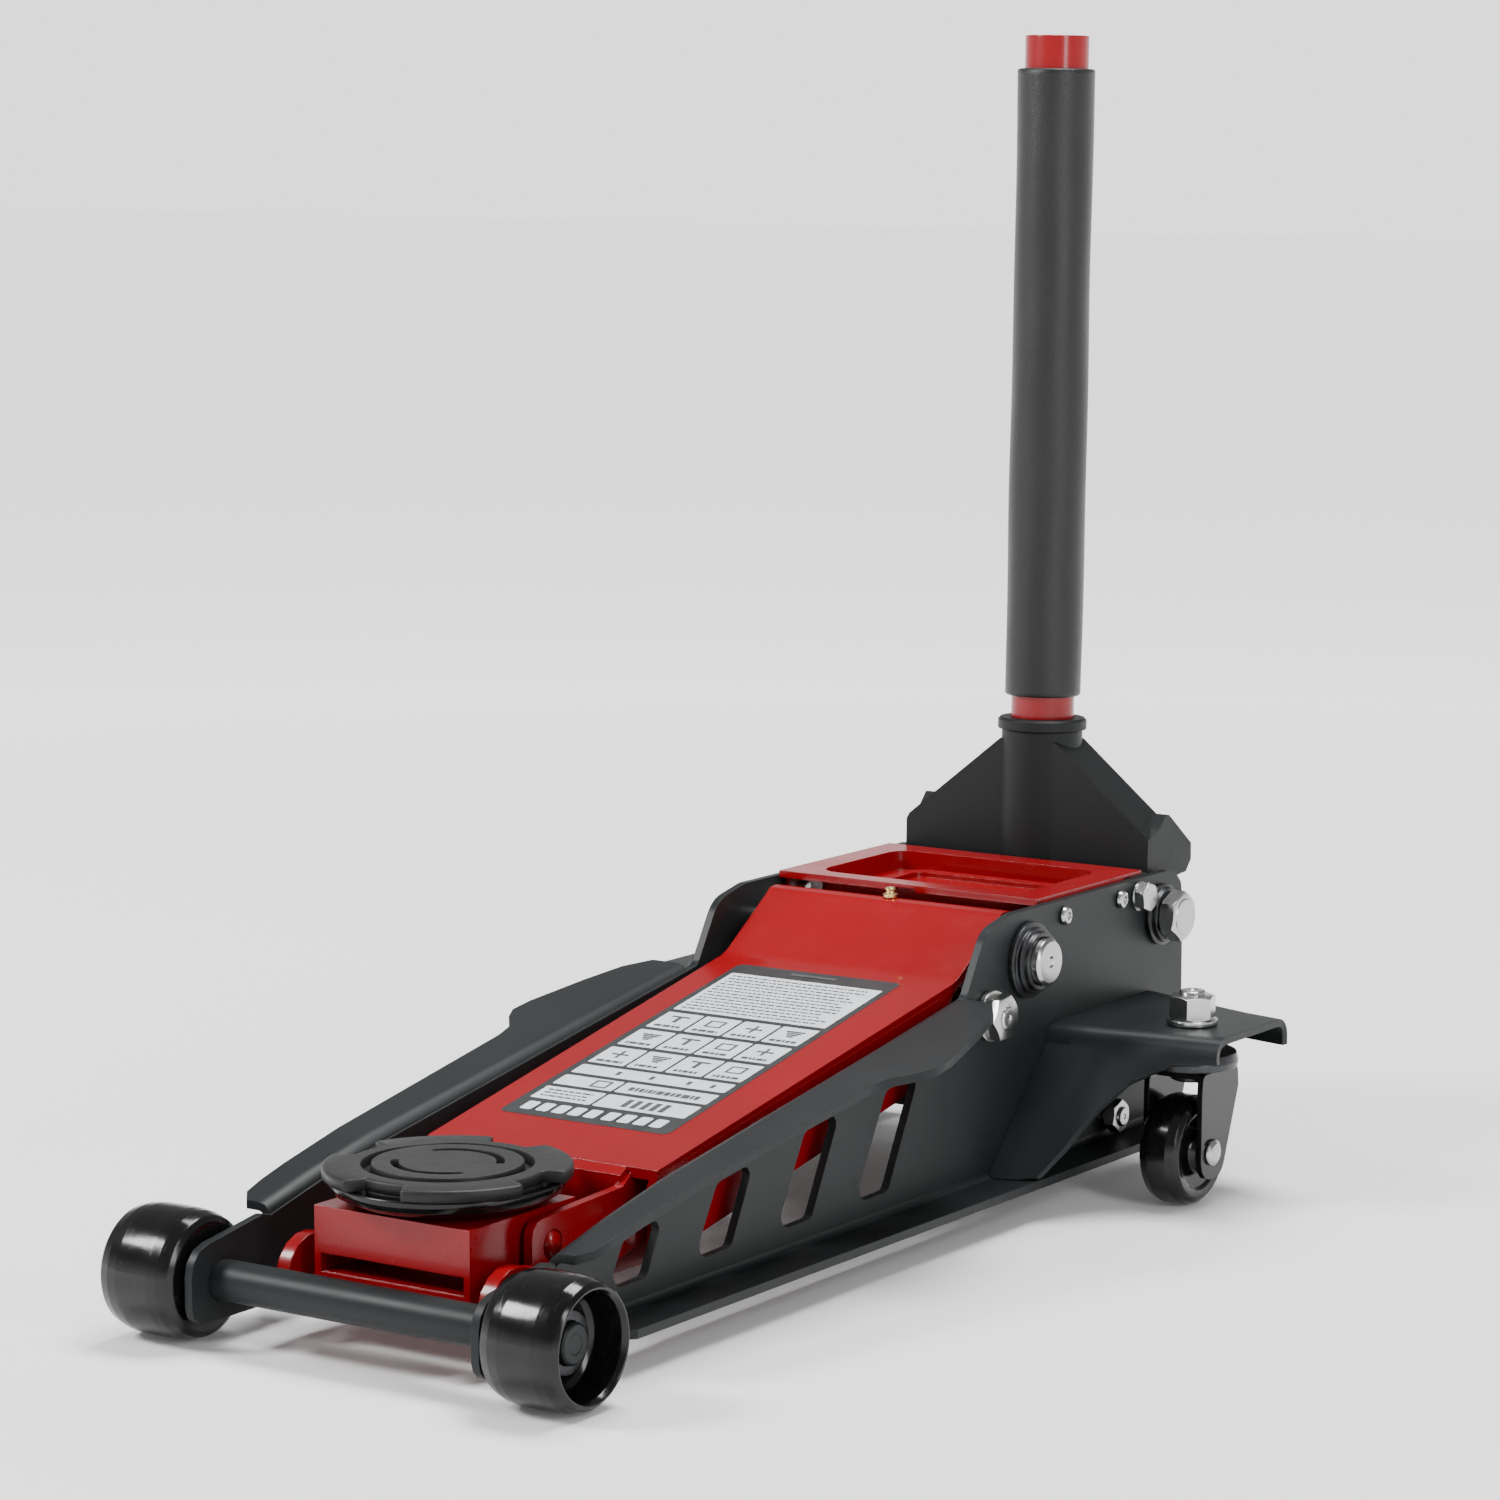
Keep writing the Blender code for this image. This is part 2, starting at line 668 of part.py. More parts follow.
def caster_brackets():
    """Pressed wings: a foot on the bottom flange, a slanted front wall and a level top plate."""
    start_y = WEB_OUTER_Y + GAP
    stations = (
        # out from the middle, wall foot (behind, height), top front, top rear, rear lip height
        (start_y, 0.4580, 0.0250, 0.5240, 0.6560, 0.0880),
        (0.1120, 0.4620, 0.0250, 0.5250, 0.6500, 0.0880),
        (0.1235, 0.4680, 0.0265, 0.5260, 0.6455, 0.0880),
        (0.1330, 0.4810, 0.0420, 0.5270, 0.6420, 0.0880),
        (0.1430, 0.4990, 0.0620, 0.5285, 0.6385, 0.0880),
        (0.1560, 0.5180, 0.0780, 0.5305, 0.6345, 0.0880),
        (0.1760, 0.5320, 0.0880, 0.5340, 0.6290, 0.0880),
        (BRACKET_OUTER_Y, 0.5370, 0.0900, 0.5370, 0.6230, 0.0880),
    )
    bend = 0.0110
    bm = bmesh.new()
    rows = []
    for y, foot, foot_z, front, rear, lip_z in stations:
        row = []
        wall_top = (front - 0.0010, BRACKET_TOP_Z - bend)
        for k in range(4):
            part = k / 4.0
            row.append((foot + (wall_top[0] - foot) * part, foot_z + (wall_top[1] - foot_z) * part))
        for k in range(5):
            angle = math.radians(90.0 * k / 4)
            row.append((front - 0.0010 + bend * (1.0 - math.cos(angle)),
                        BRACKET_TOP_Z - bend + bend * math.sin(angle)))
        middle = (front + rear) / 2.0
        row.append((middle, BRACKET_TOP_Z))
        for k in range(5):
            angle = math.radians(90.0 * k / 4)
            row.append((rear - bend + bend * math.sin(angle),
                        BRACKET_TOP_Z - bend + bend * math.cos(angle)))
        row.append((rear, min(lip_z, BRACKET_TOP_Z - bend - 0.0005)))
        rows.append([bm.verts.new((back(d), y, z)) for d, z in row])
    for near, far in zip(rows, rows[1:]):
        for i in range(len(near) - 1):
            bm.faces.new((near[i], near[i + 1], far[i + 1], far[i]))
    bmesh.ops.recalc_face_normals(bm, faces=bm.faces)
    top_face = max(bm.faces, key=lambda face: face.calc_center_median().z)
    if top_face.normal.z < 0.0:
        bmesh.ops.reverse_faces(bm, faces=bm.faces)
    shell = temporary_sheet(bm)
    hole = rod(0.0083, 0.0800, 0.1200, (back(CASTER_STEM[0]), CASTER_STEM[1], 0.0), (0.0, 0.0, 1.0))
    slab = box((back(0.8), 0.0, 0.0), (back(0.0), start_y, 0.3))
    beyond = box((back(0.8), BRACKET_OUTER_Y, 0.0), (back(0.0), 0.3, 0.3))
    flange_top = FLANGE_BOTTOM_Z + PLATE_THICKNESS + GAP
    fillet = arc((WEB_OUTER_Y + 0.0040, FLANGE_BOTTOM_Z + 0.0090), 0.0037, 180.0, 270.0, 4)
    seat = [(0.0900, 0.0), (0.0900, 0.0285)] + fillet + [(0.1300, flange_top), (0.1300, 0.0)]
    below = prism(seat, back(0.8), back(0.0), "YZ")
    both_sides("caster_bracket", cut(shell, hole, slab, beyond, below), "chassis_paint")


def temporary_sheet(bm):
    """Gives an open sheet the bracket's thickness, on its underside, and returns a closed bmesh."""
    mesh = bpy.data.meshes.new("sheet")
    bm.to_mesh(mesh)
    bm.free()
    made = bpy.data.objects.new("sheet", mesh)
    bpy.context.scene.collection.objects.link(made)
    solid = made.modifiers.new("thickness", "SOLIDIFY")
    solid.thickness = BRACKET_THICKNESS
    solid.offset = -1.0
    solid.use_even_offset = True
    bpy.context.view_layer.update()
    graph = bpy.context.evaluated_depsgraph_get()
    baked = bpy.data.meshes.new_from_object(made.evaluated_get(graph))
    result = bmesh.new()
    result.from_mesh(baked)
    bpy.data.objects.remove(made, do_unlink=True)
    return result


# ---------------------------------------------------------------- casters
def casters():
    """Swivel casters: kingpin and race on the bracket, fork and wheel below."""
    x = back(CASTER_STEM[0])
    y = CASTER_STEM[1]
    stem = (x, y, 0.0)
    up = (0.0, 0.0, 1.0)
    kingpin = joined(
        rod(0.0080, 0.0725, BRACKET_TOP_Z + 0.0205, stem, up, 16),
        rod(0.0150, BRACKET_TOP_Z + GAP, BRACKET_TOP_Z + 0.0036, stem, up, 18),
        hexagon(0.0245, BRACKET_TOP_Z + 0.0034, BRACKET_TOP_Z + 0.0185, stem, up, 18.0),
        rod(0.0125, 0.0722, 0.0758, stem, up, 16),
    )
    both_sides("caster_kingpin", kingpin, "zinc", (x, y, BRACKET_TOP_Z))
    under = BRACKET_TOP_Z - BRACKET_THICKNESS - GAP
    race_bottom = under - RACE_HEIGHT
    race_profile = [
        (0.0083, under),
        (0.0190, under),
        (0.0200, under - 0.0070),
        (0.0260, under - 0.0100),
        (0.0275, race_bottom + 0.0030),
        (0.0265, race_bottom),
        (0.0083, race_bottom),
    ]
    race = turned(race_profile, stem, up, 22, closed=True)
    both_sides("caster_race", race, "black_steel", (x, y, under))

    crown_top = race_bottom - GAP
    sheet = 0.0035
    inside = 0.0160
    outside = inside + sheet
    wheel_x = x + CASTER_TRAIL
    # side view of a leg: wide at the crown, narrow and rounded at the axle
    leg_outline = rounded(
        [
            (x - 0.0210, crown_top - 0.0005, 0.0040),
            (x - 0.0220, crown_top - 0.0130, 0.0080),
            (wheel_x - 0.0125, CASTER_RADIUS - 0.0160, 0.0110),
            (wheel_x + 0.0125, CASTER_RADIUS - 0.0160, 0.0110),
            (x + 0.0220, crown_top - 0.0130, 0.0080),
            (x + 0.0210, crown_top - 0.0005, 0.0040),
        ],
        3,
    )
    legs = [
        prism(leg_outline, y + inside, y + outside),
        prism(leg_outline, y - outside, y - inside),
    ]
    crown_outline = rounded(
        [
            (y - outside, crown_top, 0.0060),
            (y - outside, crown_top - 0.0120, 0.0),
            (y - inside, crown_top - 0.0120, 0.0),
            (y - inside, crown_top - sheet, 0.0030),
            (y + inside, crown_top - sheet, 0.0030),
            (y + inside, crown_top - 0.0120, 0.0),
            (y + outside, crown_top - 0.0120, 0.0),
            (y + outside, crown_top, 0.0060),
        ],
        3,
    )
    crown = prism(crown_outline, x - 0.0209, x + 0.0209, "YZ")
    hub = (wheel_x, y, CASTER_RADIUS)
    fork = cut(
        joined(crown, *legs),
        rod(0.0083, 0.0700, 0.0900, stem, up, 16),
        rod(0.0046, -0.0300, 0.0300, hub, segments=12),
    )
    both_sides("caster_fork", fork, "gloss_black", (x, y, crown_top))
    half = 0.0130
    edge = CASTER_RADIUS - 0.0015
    wheel_profile = [
        (0.0050, -half - 0.0020),
        (0.0105, -half - 0.0020),
        (0.0115, -half + 0.0015),
        (0.0225, -half + 0.0015),
        (edge - 0.0030, -half),
        (CASTER_RADIUS, -0.0080),
        (CASTER_RADIUS, 0.0080),
        (edge - 0.0030, half),
        (0.0225, half - 0.0015),
        (0.0115, half - 0.0015),
        (0.0105, half + 0.0020),
        (0.0050, half + 0.0020),
    ]
    wheel = turned(wheel_profile, hub, segments=20, closed=True)
    both_sides("caster_wheel", wheel, "wheel_black", hub)
    axle_profile = [
        (0.0, -outside - 0.0035),
        (0.0075, -outside - 0.0030),
        (0.0080, -outside - GAP),
        (0.0043, -outside - GAP),
        (0.0043, outside + GAP),
        (0.0080, outside + GAP),
        (0.0075, outside + 0.0030),
        (0.0, outside + 0.0035),
    ]
    both_sides("caster_axle", turned(axle_profile, hub, segments=16), "zinc", hub)


# ---------------------------------------------------------------- lift arm and saddle
ARM_SHEET = 0.0060
ARM_FRONT_HALF = 0.0770
ARM_REAR_HALF = 0.0810
NOSE_INNER_Y = 0.0545
NOSE_OUTER_Y = 0.0600
LINK_INNER_Y = 0.0620
LINK_OUTER_Y = 0.0705
CHEEK_INNER_Y = 0.0720


def arm_half_width(distance):
    part = (distance - 0.1560) / (0.4460 - 0.1560)
    return ARM_FRONT_HALF + part * (ARM_REAR_HALF - ARM_FRONT_HALF)


def cheek_outline():
    """Side view of an arm wall: square front, sloping lower edge, round hub at the rear pivot."""
    pivot = (back(ARM_PIVOT[0]), ARM_PIVOT[1])
    link = (back(LINK_PIVOT[0]), LINK_PIVOT[1])
    outline = [(back(0.1565), 0.0820), (back(0.1530), 0.0760), (back(0.1530), 0.0380)]
    outline += [(back(0.1580), 0.0362), (back(0.3900), 0.0815), (back(0.4200), 0.0960)]
    # scallop over the chassis bolt of the torque link
    outline += arc(link, 0.0190, 20.0, 118.0, 4)
    outline += arc(pivot, HUB_RADIUS + 0.0010, -55.0, -205.0, 5)
    outline += arc(pivot, HUB_RADIUS + 0.0010, -218.0, -268.0, 3)
    outline += [(back(0.4990), 0.1700), (back(0.4460), 0.1360)]
    return outline


def nose_outline():
    """Side view of the narrow walls that carry the saddle bracket's pin."""
    return rounded(
        [
            (back(0.1560), 0.0815, 0.0),
            (back(0.1480), 0.0755, 0.0040),
            (back(0.0680), 0.0720, 0.0090),
            (back(0.0680), 0.0400, 0.0120),
            (back(0.1000), 0.0300, 0.0200),
            (back(0.1850), 0.0300, 0.0),
            (back(0.2000), 0.0380, 0.0),
            (back(0.2000), 0.0900, 0.0),
        ],
        3,
    )


def arm_top_outline():
    """Section of the arm's top plate along the arm: level slope, steeper rear and rounded crest."""
    pivot = (back(ARM_PIVOT[0]), ARM_PIVOT[1])
    upper = [(back(0.1560), 0.0848), (back(0.4440), 0.1395), (back(0.4500), 0.1420)]
    crest = arc(pivot, 0.0270, 78.0, 128.0, 5)
    lower = arc(pivot, 0.0215, 128.0, 78.0, 5)
    upper_rear = [(back(0.4930), 0.1700)]
    lower_rear = [(back(0.4900), 0.1640), (back(0.4475), 0.1350), (back(0.4425), 0.1335)]
    return upper + upper_rear + crest + lower + lower_rear + [(back(0.1560), 0.0790)]


def lift_arm():
    """Box-section arm: top plate, two walls, front cross plate and the crank lugs at the pivot."""
    top = prism(arm_top_outline(), -ARM_FRONT_HALF, ARM_FRONT_HALF)
    for vert in top.verts:
        distance = FRONT_AXLE_X - vert.co.x
        side = 1.0 if vert.co.y > 0.0 else -1.0
        vert.co.y = side * (min(arm_half_width(distance), ARM_REAR_HALF + 0.0006) - 0.0002)
    walls = []
    for side in (-1.0, 1.0):
        low, high = sorted((side * CHEEK_INNER_Y, side * ARM_FRONT_HALF))
        wall = prism(cheek_outline(), low, high)
        for vert in wall.verts:
            distance = FRONT_AXLE_X - vert.co.x
            grow = max(0.0, min(arm_half_width(distance), ARM_REAR_HALF) - ARM_FRONT_HALF)
            vert.co.y += side * grow
        walls.append(wall)
    for side in (-1.0, 1.0):
        low, high = sorted((side * NOSE_INNER_Y, side * NOSE_OUTER_Y))
        walls.append(prism(nose_outline(), low, high))
    lip = prism(
        [
            (back(0.1560), 0.0845),
            (back(0.1500), 0.0810),
            (back(0.1490), 0.0600),
            (back(0.1550), 0.0600),
            (back(0.1600), 0.0800),
        ],
        -0.0570,
        0.0570,
    )
    rib_end = CHEEK_INNER_Y + 0.0020
    cross = box((back(0.1950), -rib_end, 0.0790), (back(0.1900), rib_end, 0.0900))
    lugs = []
    crank = (back(CRANK_PIN[0]), CRANK_PIN[1])
    pivot = (back(ARM_PIVOT[0]), ARM_PIVOT[1])
    slope = math.degrees(math.atan2(pivot[1] - crank[1], pivot[0] - crank[0]))
    lug_outline = arc(crank, 0.0120, slope + 90.0, slope + 270.0, 6)
    lug_outline += arc(pivot, 0.0235, slope - 80.0, slope + 80.0, 6)
    for side in (-1.0, 1.0):
        low, high = sorted((side * 0.0160, side * 0.0240))
        lugs.append(prism(lug_outline, low, high))
    # round tube round the pivot shaft, welded between the walls
    centre = (pivot[0], 0.0, pivot[1])
    tube = rod(0.0220, -CHEEK_INNER_Y - 0.0030, CHEEK_INNER_Y + 0.0030, centre, segments=18)
    arm = joined(top, *walls, lip, cross, tube, *lugs)
    front = (back(ARM_FRONT_PIN[0]), 0.0, ARM_FRONT_PIN[1])
    arm = cut(
        arm,
        rod(PIVOT_SHAFT_RADIUS + GAP, -0.12, 0.12, centre, segments=18),
        rod(0.0083, -0.07, 0.07, front, segments=16),
        rod(0.0063, -0.05, 0.05, (crank[0], 0.0, crank[1]), segments=16),
        rod(0.0033, 0.1600, 0.1900, (back(0.5035), 0.0, 0.0), (0.0, 0.0, 1.0), segments=10),
    )
    new_object("lift_arm", arm, "red_paint", centre)


def arm_fittings():
    front = (back(ARM_FRONT_PIN[0]), 0.0, ARM_FRONT_PIN[1])
    new_object("arm_front_pin", rod(0.0080, -0.0598, 0.0598, front, segments=18), "red_paint", front)
    crank = (back(CRANK_PIN[0]), 0.0, CRANK_PIN[1])
    new_object("crank_pin", rod(0.0060, -0.0260, 0.0260, crank, segments=16, chamfer=0.0006), "zinc", crank)
    roller = ring(0.0063, LEVER_ROLLER_RADIUS, -0.0155, 0.0155, crank, segments=22)
    new_object("crank_roller", roller, "black_steel", crank)
    base = (back(0.5035), 0.0, 0.0)
    profile = [
        (0.0, 0.1690),
        (0.0030, 0.1690),
        (0.0030, 0.1738),
        (0.0044, 0.1738),
        (0.0044, 0.1758),
        (0.0028, 0.1764),
        (0.0026, 0.1778),
        (0.0033, 0.1787),
        (0.0024, 0.1796),
        (0.0, 0.1798),
    ]
    fitting = turned(profile, base, (0.0, 0.0, 1.0), 12)
    new_object("grease_fitting", fitting, "brass", (back(0.5035), 0.0, 0.1738))


def saddle_bracket():
    """Open red box under the saddle, with a slot in its front face and an open underside."""
    front = 0.0270
    rear = 0.1180
    half = 0.0510
    sheet = 0.0060
    low = 0.0240
    top = 0.0750
    outer = box((back(rear), -half, low), (back(front), half, top))
    hollow = box((back(rear) - 0.01, -half + sheet, low - 0.01), (back(front + sheet), half - sheet, top - sheet))
    slot = box((back(front + 0.02), -half + 0.0040, 0.0400), (back(front) + 0.01, half - 0.0040, 0.0500))
    side = prism(
        [
            (back(rear) - 0.001, low - 0.001),
            (back(0.0850), low - 0.001),
            (back(rear) - 0.001, 0.0480),
        ],
        -half - 0.001,
        half + 0.001,
    )
    pin_b = (back(ARM_FRONT_PIN[0]), 0.0, ARM_FRONT_PIN[1])
    pin_d = (back(LINK_FRONT_PIN[0]), 0.0, LINK_FRONT_PIN[1])
    post = (back(SADDLE_BEHIND), 0.0, 0.0)
    shelf = box((back(0.0680), -half + 0.0010, 0.0386), (back(front + 0.0010), half - 0.0010, 0.0403))
    bosses = [
        shelf,
        rod(0.0113, -half - 0.0030, half + 0.0030, pin_b, segments=22),
    ]
    bracket = joined(cut(outer, hollow, slot, side), *bosses)
    bracket = cut(
        bracket,
        rod(0.0083, -0.09, 0.09, pin_b, segments=16),
        rod(0.0073, -0.09, 0.09, pin_d, segments=16),
        rod(0.0103, 0.0640, 0.0900, post, (0.0, 0.0, 1.0), segments=22),
    )
    new_object("saddle_bracket", bracket, "red_paint", pin_b)
    pin = rod(0.0070, -0.0720, 0.0720, pin_d, segments=18)
    new_object("link_front_pin", pin, "red_paint", pin_d)


def saddle():
    """Black cup on the bracket with a grooved rubber pad that has four wide lobes."""
    base = (back(SADDLE_BEHIND), 0.0, 0.0)
    up = (0.0, 0.0, 1.0)
    cup_profile = [
        (0.0, 0.0705),
        (0.0100, 0.0705),
        (0.0100, 0.0753),
        (0.0470, 0.0753),
        (0.0540, 0.0782),
        (0.0605, 0.0815),
        (0.0625, 0.0855),
        (0.0625, 0.0872),
        (0.0600, 0.0872),
        (0.0590, 0.0830),
        (0.0, 0.0830),
    ]
    cup = turned(cup_profile, base, up, 32)
    new_object("saddle_cup", cup, "gloss_black", (back(SADDLE_BEHIND), 0.0, 0.0753))
    pad_outline = []
    for i in range(48):
        angle = 2.0 * math.pi * (i + 0.5) / 48
        lobe = abs((math.degrees(angle) % 90.0) - 45.0)
        radius = 0.0585 if lobe < 30.0 else 0.0500
        pad_outline.append((radius * math.cos(angle), radius * math.sin(angle)))
    pad = prism([(base[0] + a, b) for a, b in pad_outline], 0.0833, 0.0920, "XY")
    rim_outline = []
    for i in range(48):
        angle = 2.0 * math.pi * (i + 0.5) / 48
        lobe = abs((math.degrees(angle) % 90.0) - 45.0)
        radius = 0.0660 if lobe < 30.0 else 0.0545
        rim_outline.append((base[0] + radius * math.cos(angle), radius * math.sin(angle)))
    rim = prism(rim_outline, 0.0875, 0.0950, "XY")
    groove = ring(0.0410, 0.0450, 0.0925, 0.1000, base, up, 26)
    disc = rod(0.0405, 0.0900, 0.0956, base, up, 26)
    pad = joined(cut(joined(pad, rim), groove), disc)
    new_object("saddle_pad", pad, "rubber", (back(SADDLE_BEHIND), 0.0, 0.0833))


def torque_links():
    """Flat rods from the chassis bolts to the front pin; they keep the saddle level."""
    rear = (back(LINK_PIVOT[0]), LINK_PIVOT[1])
    front = (back(LINK_FRONT_PIN[0]), LINK_FRONT_PIN[1])
    slope = math.degrees(math.atan2(front[1] - rear[1], front[0] - rear[0]))
    lower = math.radians(slope - 90.0)
    upper = math.radians(slope + 90.0)
    half = 0.0080
    outline = arc(rear, 0.0150, slope + 120.0, slope + 240.0, 8)
    outline += [
        (rear[0] + half * math.cos(lower) + 0.018 * math.cos(math.radians(slope)),
         rear[1] + half * math.sin(lower) + 0.018 * math.sin(math.radians(slope))),
        (front[0] + half * math.cos(lower) - 0.040 * math.cos(math.radians(slope)),
         front[1] + half * math.sin(lower) - 0.040 * math.sin(math.radians(slope))),
    ]
    head = (front[0] + 0.0020, front[1] + 0.0030)
    outline += arc(head, 0.0220, slope - 110.0, slope + 110.0, 10)
    outline += [
        (front[0] + half * math.cos(upper) - 0.040 * math.cos(math.radians(slope)),
         front[1] + half * math.sin(upper) - 0.040 * math.sin(math.radians(slope))),
        (rear[0] + half * math.cos(upper) + 0.018 * math.cos(math.radians(slope)),
         rear[1] + half * math.sin(upper) + 0.018 * math.sin(math.radians(slope))),
    ]
    bar = cut(
        prism(outline, LINK_INNER_Y, LINK_OUTER_Y),
        rod(0.0073, 0.0, 0.1, (rear[0], 0.0, rear[1])),
        rod(0.0073, 0.0, 0.1, (front[0], 0.0, front[1])),
    )
    both_sides("torque_link", bar, "red_paint", (rear[0], LINK_INNER_Y, rear[1]))


# ---------------------------------------------------------------- hydraulic unit
PUMP_FRONT = 0.6320
PUMP_REAR = 0.6860
PUMP_TOP = 0.1160
PLUNGER_X = 0.6770


def hydraulic_unit():
    """Pump block at the rear, reservoir with the ram cylinder inside it, and the ram."""
    along = (1.0, 0.0, 0.0)
    axis_line = (back(0.0), 0.0, RAM_Z)
    block_outline = rounded(
        [
            (back(PUMP_REAR), 0.0600, 0.0060),
            (back(0.6120), 0.0240, 0.0060),
            (back(0.5850), 0.0240, 0.0060),
            (back(0.5850), 0.0460, 0.0060),
            (back(PUMP_FRONT), 0.0540, 0.0),
            (back(PUMP_FRONT), PUMP_TOP, 0.0),
            (back(PUMP_REAR), PUMP_TOP, 0.0050),
        ],
        3,
    )
    block = prism(block_outline, -0.0380, 0.0380)
    reach = WEB_INNER_Y - 0.0010
    foot = rod(0.0118, -reach, reach, (back(UNIT_BOLT[0]), 0.0, UNIT_BOLT[1]), segments=18)
    holes = [
        rod(0.0063, -0.1, 0.1, (back(UNIT_BOLT[0]), 0.0, UNIT_BOLT[1]), segments=12),
        rod(0.0073, 0.0730, 0.1300, (back(PLUNGER_X), 0.0, 0.0), (0.0, 0.0, 1.0), segments=16),
        rod(0.0073, -0.7000, -0.6600, (back(0.0), 0.0220, 0.0820), along, segments=16),
    ]
    block = cut(joined(block, foot), *holes)
    new_object("pump_block", block, "chassis_paint")

    barrel = [
        (0.0135, -0.6315),
        (0.0270, -0.6315),
        (0.0270, -0.5590),
        (0.0250, -0.5570),
        (0.0123, -0.5570),
        (0.0123, -0.5655),
        (0.0135, -0.5665),
    ]
    new_object(
        "ram_cylinder",
        turned(barrel, axis_line, along, 26, closed=True),
        "chassis_paint",
        (back(0.6100), 0.0, RAM_Z),
    )
    tank_profile = [
        (0.0273, -PUMP_FRONT + GAP),
        (0.0370, -PUMP_FRONT + GAP),
        (0.0370, -0.5680),
        (0.0350, -0.5640),
        (0.0273, -0.5640),
    ]
    tank = turned(tank_profile, axis_line, along, 32, closed=True)
    plug_spot = (back(0.6050), 0.0, 0.0)
    tank = cut(tank, rod(0.0053, 0.1150, 0.1350, plug_spot, (0.0, 0.0, 1.0), segments=12))
    new_object("oil_reservoir", tank, "chassis_paint", (back(0.6000), 0.0, RAM_Z))
    plug_profile = [
        (0.0, 0.1215),
        (0.0050, 0.1215),
        (0.0050, 0.1300),
        (0.0080, 0.1302),
        (0.0080, 0.1330),
        (0.0, 0.1335),
    ]
    new_object("filler_plug", turned(plug_profile, plug_spot, (0.0, 0.0, 1.0), 16), "rubber", (back(0.6050), 0.0, 0.13))
    ram_profile = [
        (0.0, -0.6290),
        (0.0130, -0.6290),
        (0.0130, -0.6240),
        (0.0120, -0.6235),
        (0.0120, -0.5455),
        (0.0105, -0.5440),
        (0.0, -0.5440),
    ]
    ram = turned(ram_profile, axis_line, along, 22)
    new_object("ram", ram, "zinc", (back(0.5600), 0.0, RAM_Z))


def release_valve():
    """Valve spindle in the rear of the pump block, turned by the handle through its cross slot."""
    spot = (back(0.0), 0.0220, 0.0820)
    profile = [
        (0.0, -0.7020),
        (0.0090, -0.7020),
        (0.0095, -0.7010),
        (0.0095, -PUMP_REAR - 0.0010),
        (0.0070, -PUMP_REAR - 0.0008),
        (0.0070, -0.6640),
        (0.0, -0.6620),
    ]
    valve = turned(profile, spot, (1.0, 0.0, 0.0), 18)
    slot = box((back(0.7040), 0.0100, 0.0805), (back(0.6960), 0.0340, 0.0835))
    new_object("release_valve", cut(valve, slot), "zinc", (back(PUMP_REAR), 0.0220, 0.0820))


def plunger_and_spring():
    base = (back(PLUNGER_X), 0.0, 0.0)
    up = (0.0, 0.0, 1.0)
    profile = [
        (0.0, 0.0960),
        (0.0070, 0.0960),
        (0.0070, 0.1480),
        (0.0120, 0.1482),
        (0.0120, 0.1516),
        (0.0105, 0.1526),
        (0.0, 0.1526),
    ]
    new_object("pump_plunger", turned(profile, base, up, 18), "zinc", (back(PLUNGER_X), 0.0, PUMP_TOP))
    spring = coil(base, 0.0102, 0.0011, PUMP_TOP + 0.0016, 0.1466, 4.0)
    new_object("plunger_spring", spring, "spring_steel", (back(PLUNGER_X), 0.0, PUMP_TOP))


def coil(base, radius, wire, low, high, turns):
    """A helical spring of round wire about a vertical axis."""
    sides = 5
    steps = int(turns * 11)
    bm = bmesh.new()
    rings = []
    rise = (high - low) / (2.0 * math.pi * turns)
    for i in range(steps + 1):
        angle = 2.0 * math.pi * turns * i / steps
        centre = Vector((base[0] + radius * math.cos(angle), radius * math.sin(angle), low + rise * angle))
        outward = Vector((math.cos(angle), math.sin(angle), 0.0))
        forward = Vector((-radius * math.sin(angle), radius * math.cos(angle), rise)).normalized()
        across = forward.cross(outward)
        ring_verts = []
        for k in range(sides):
            turn = 2.0 * math.pi * k / sides
            ring_verts.append(bm.verts.new(centre + (outward * math.cos(turn) + across * math.sin(turn)) * wire))
        rings.append(ring_verts)
    for near, far in zip(rings, rings[1:]):
        for k in range(sides):
            m = (k + 1) % sides
            bm.faces.new((near[k], near[m], far[m], far[k]))
    bm.faces.new(rings[0])
    bm.faces.new(rings[-1])
    return bm


# ---------------------------------------------------------------- yoke and handle
def lean_matrix():
    pivot = Vector((back(YOKE_PIVOT[0]), 0.0, YOKE_PIVOT[1]))
    return Matrix.Translation(pivot) @ Matrix.Rotation(-HANDLE_LEAN, 4, "Y") @ Matrix.Translation(-pivot)


def leaned(bm):
    bmesh.ops.transform(bm, matrix=lean_matrix(), verts=bm.verts)
    return bm


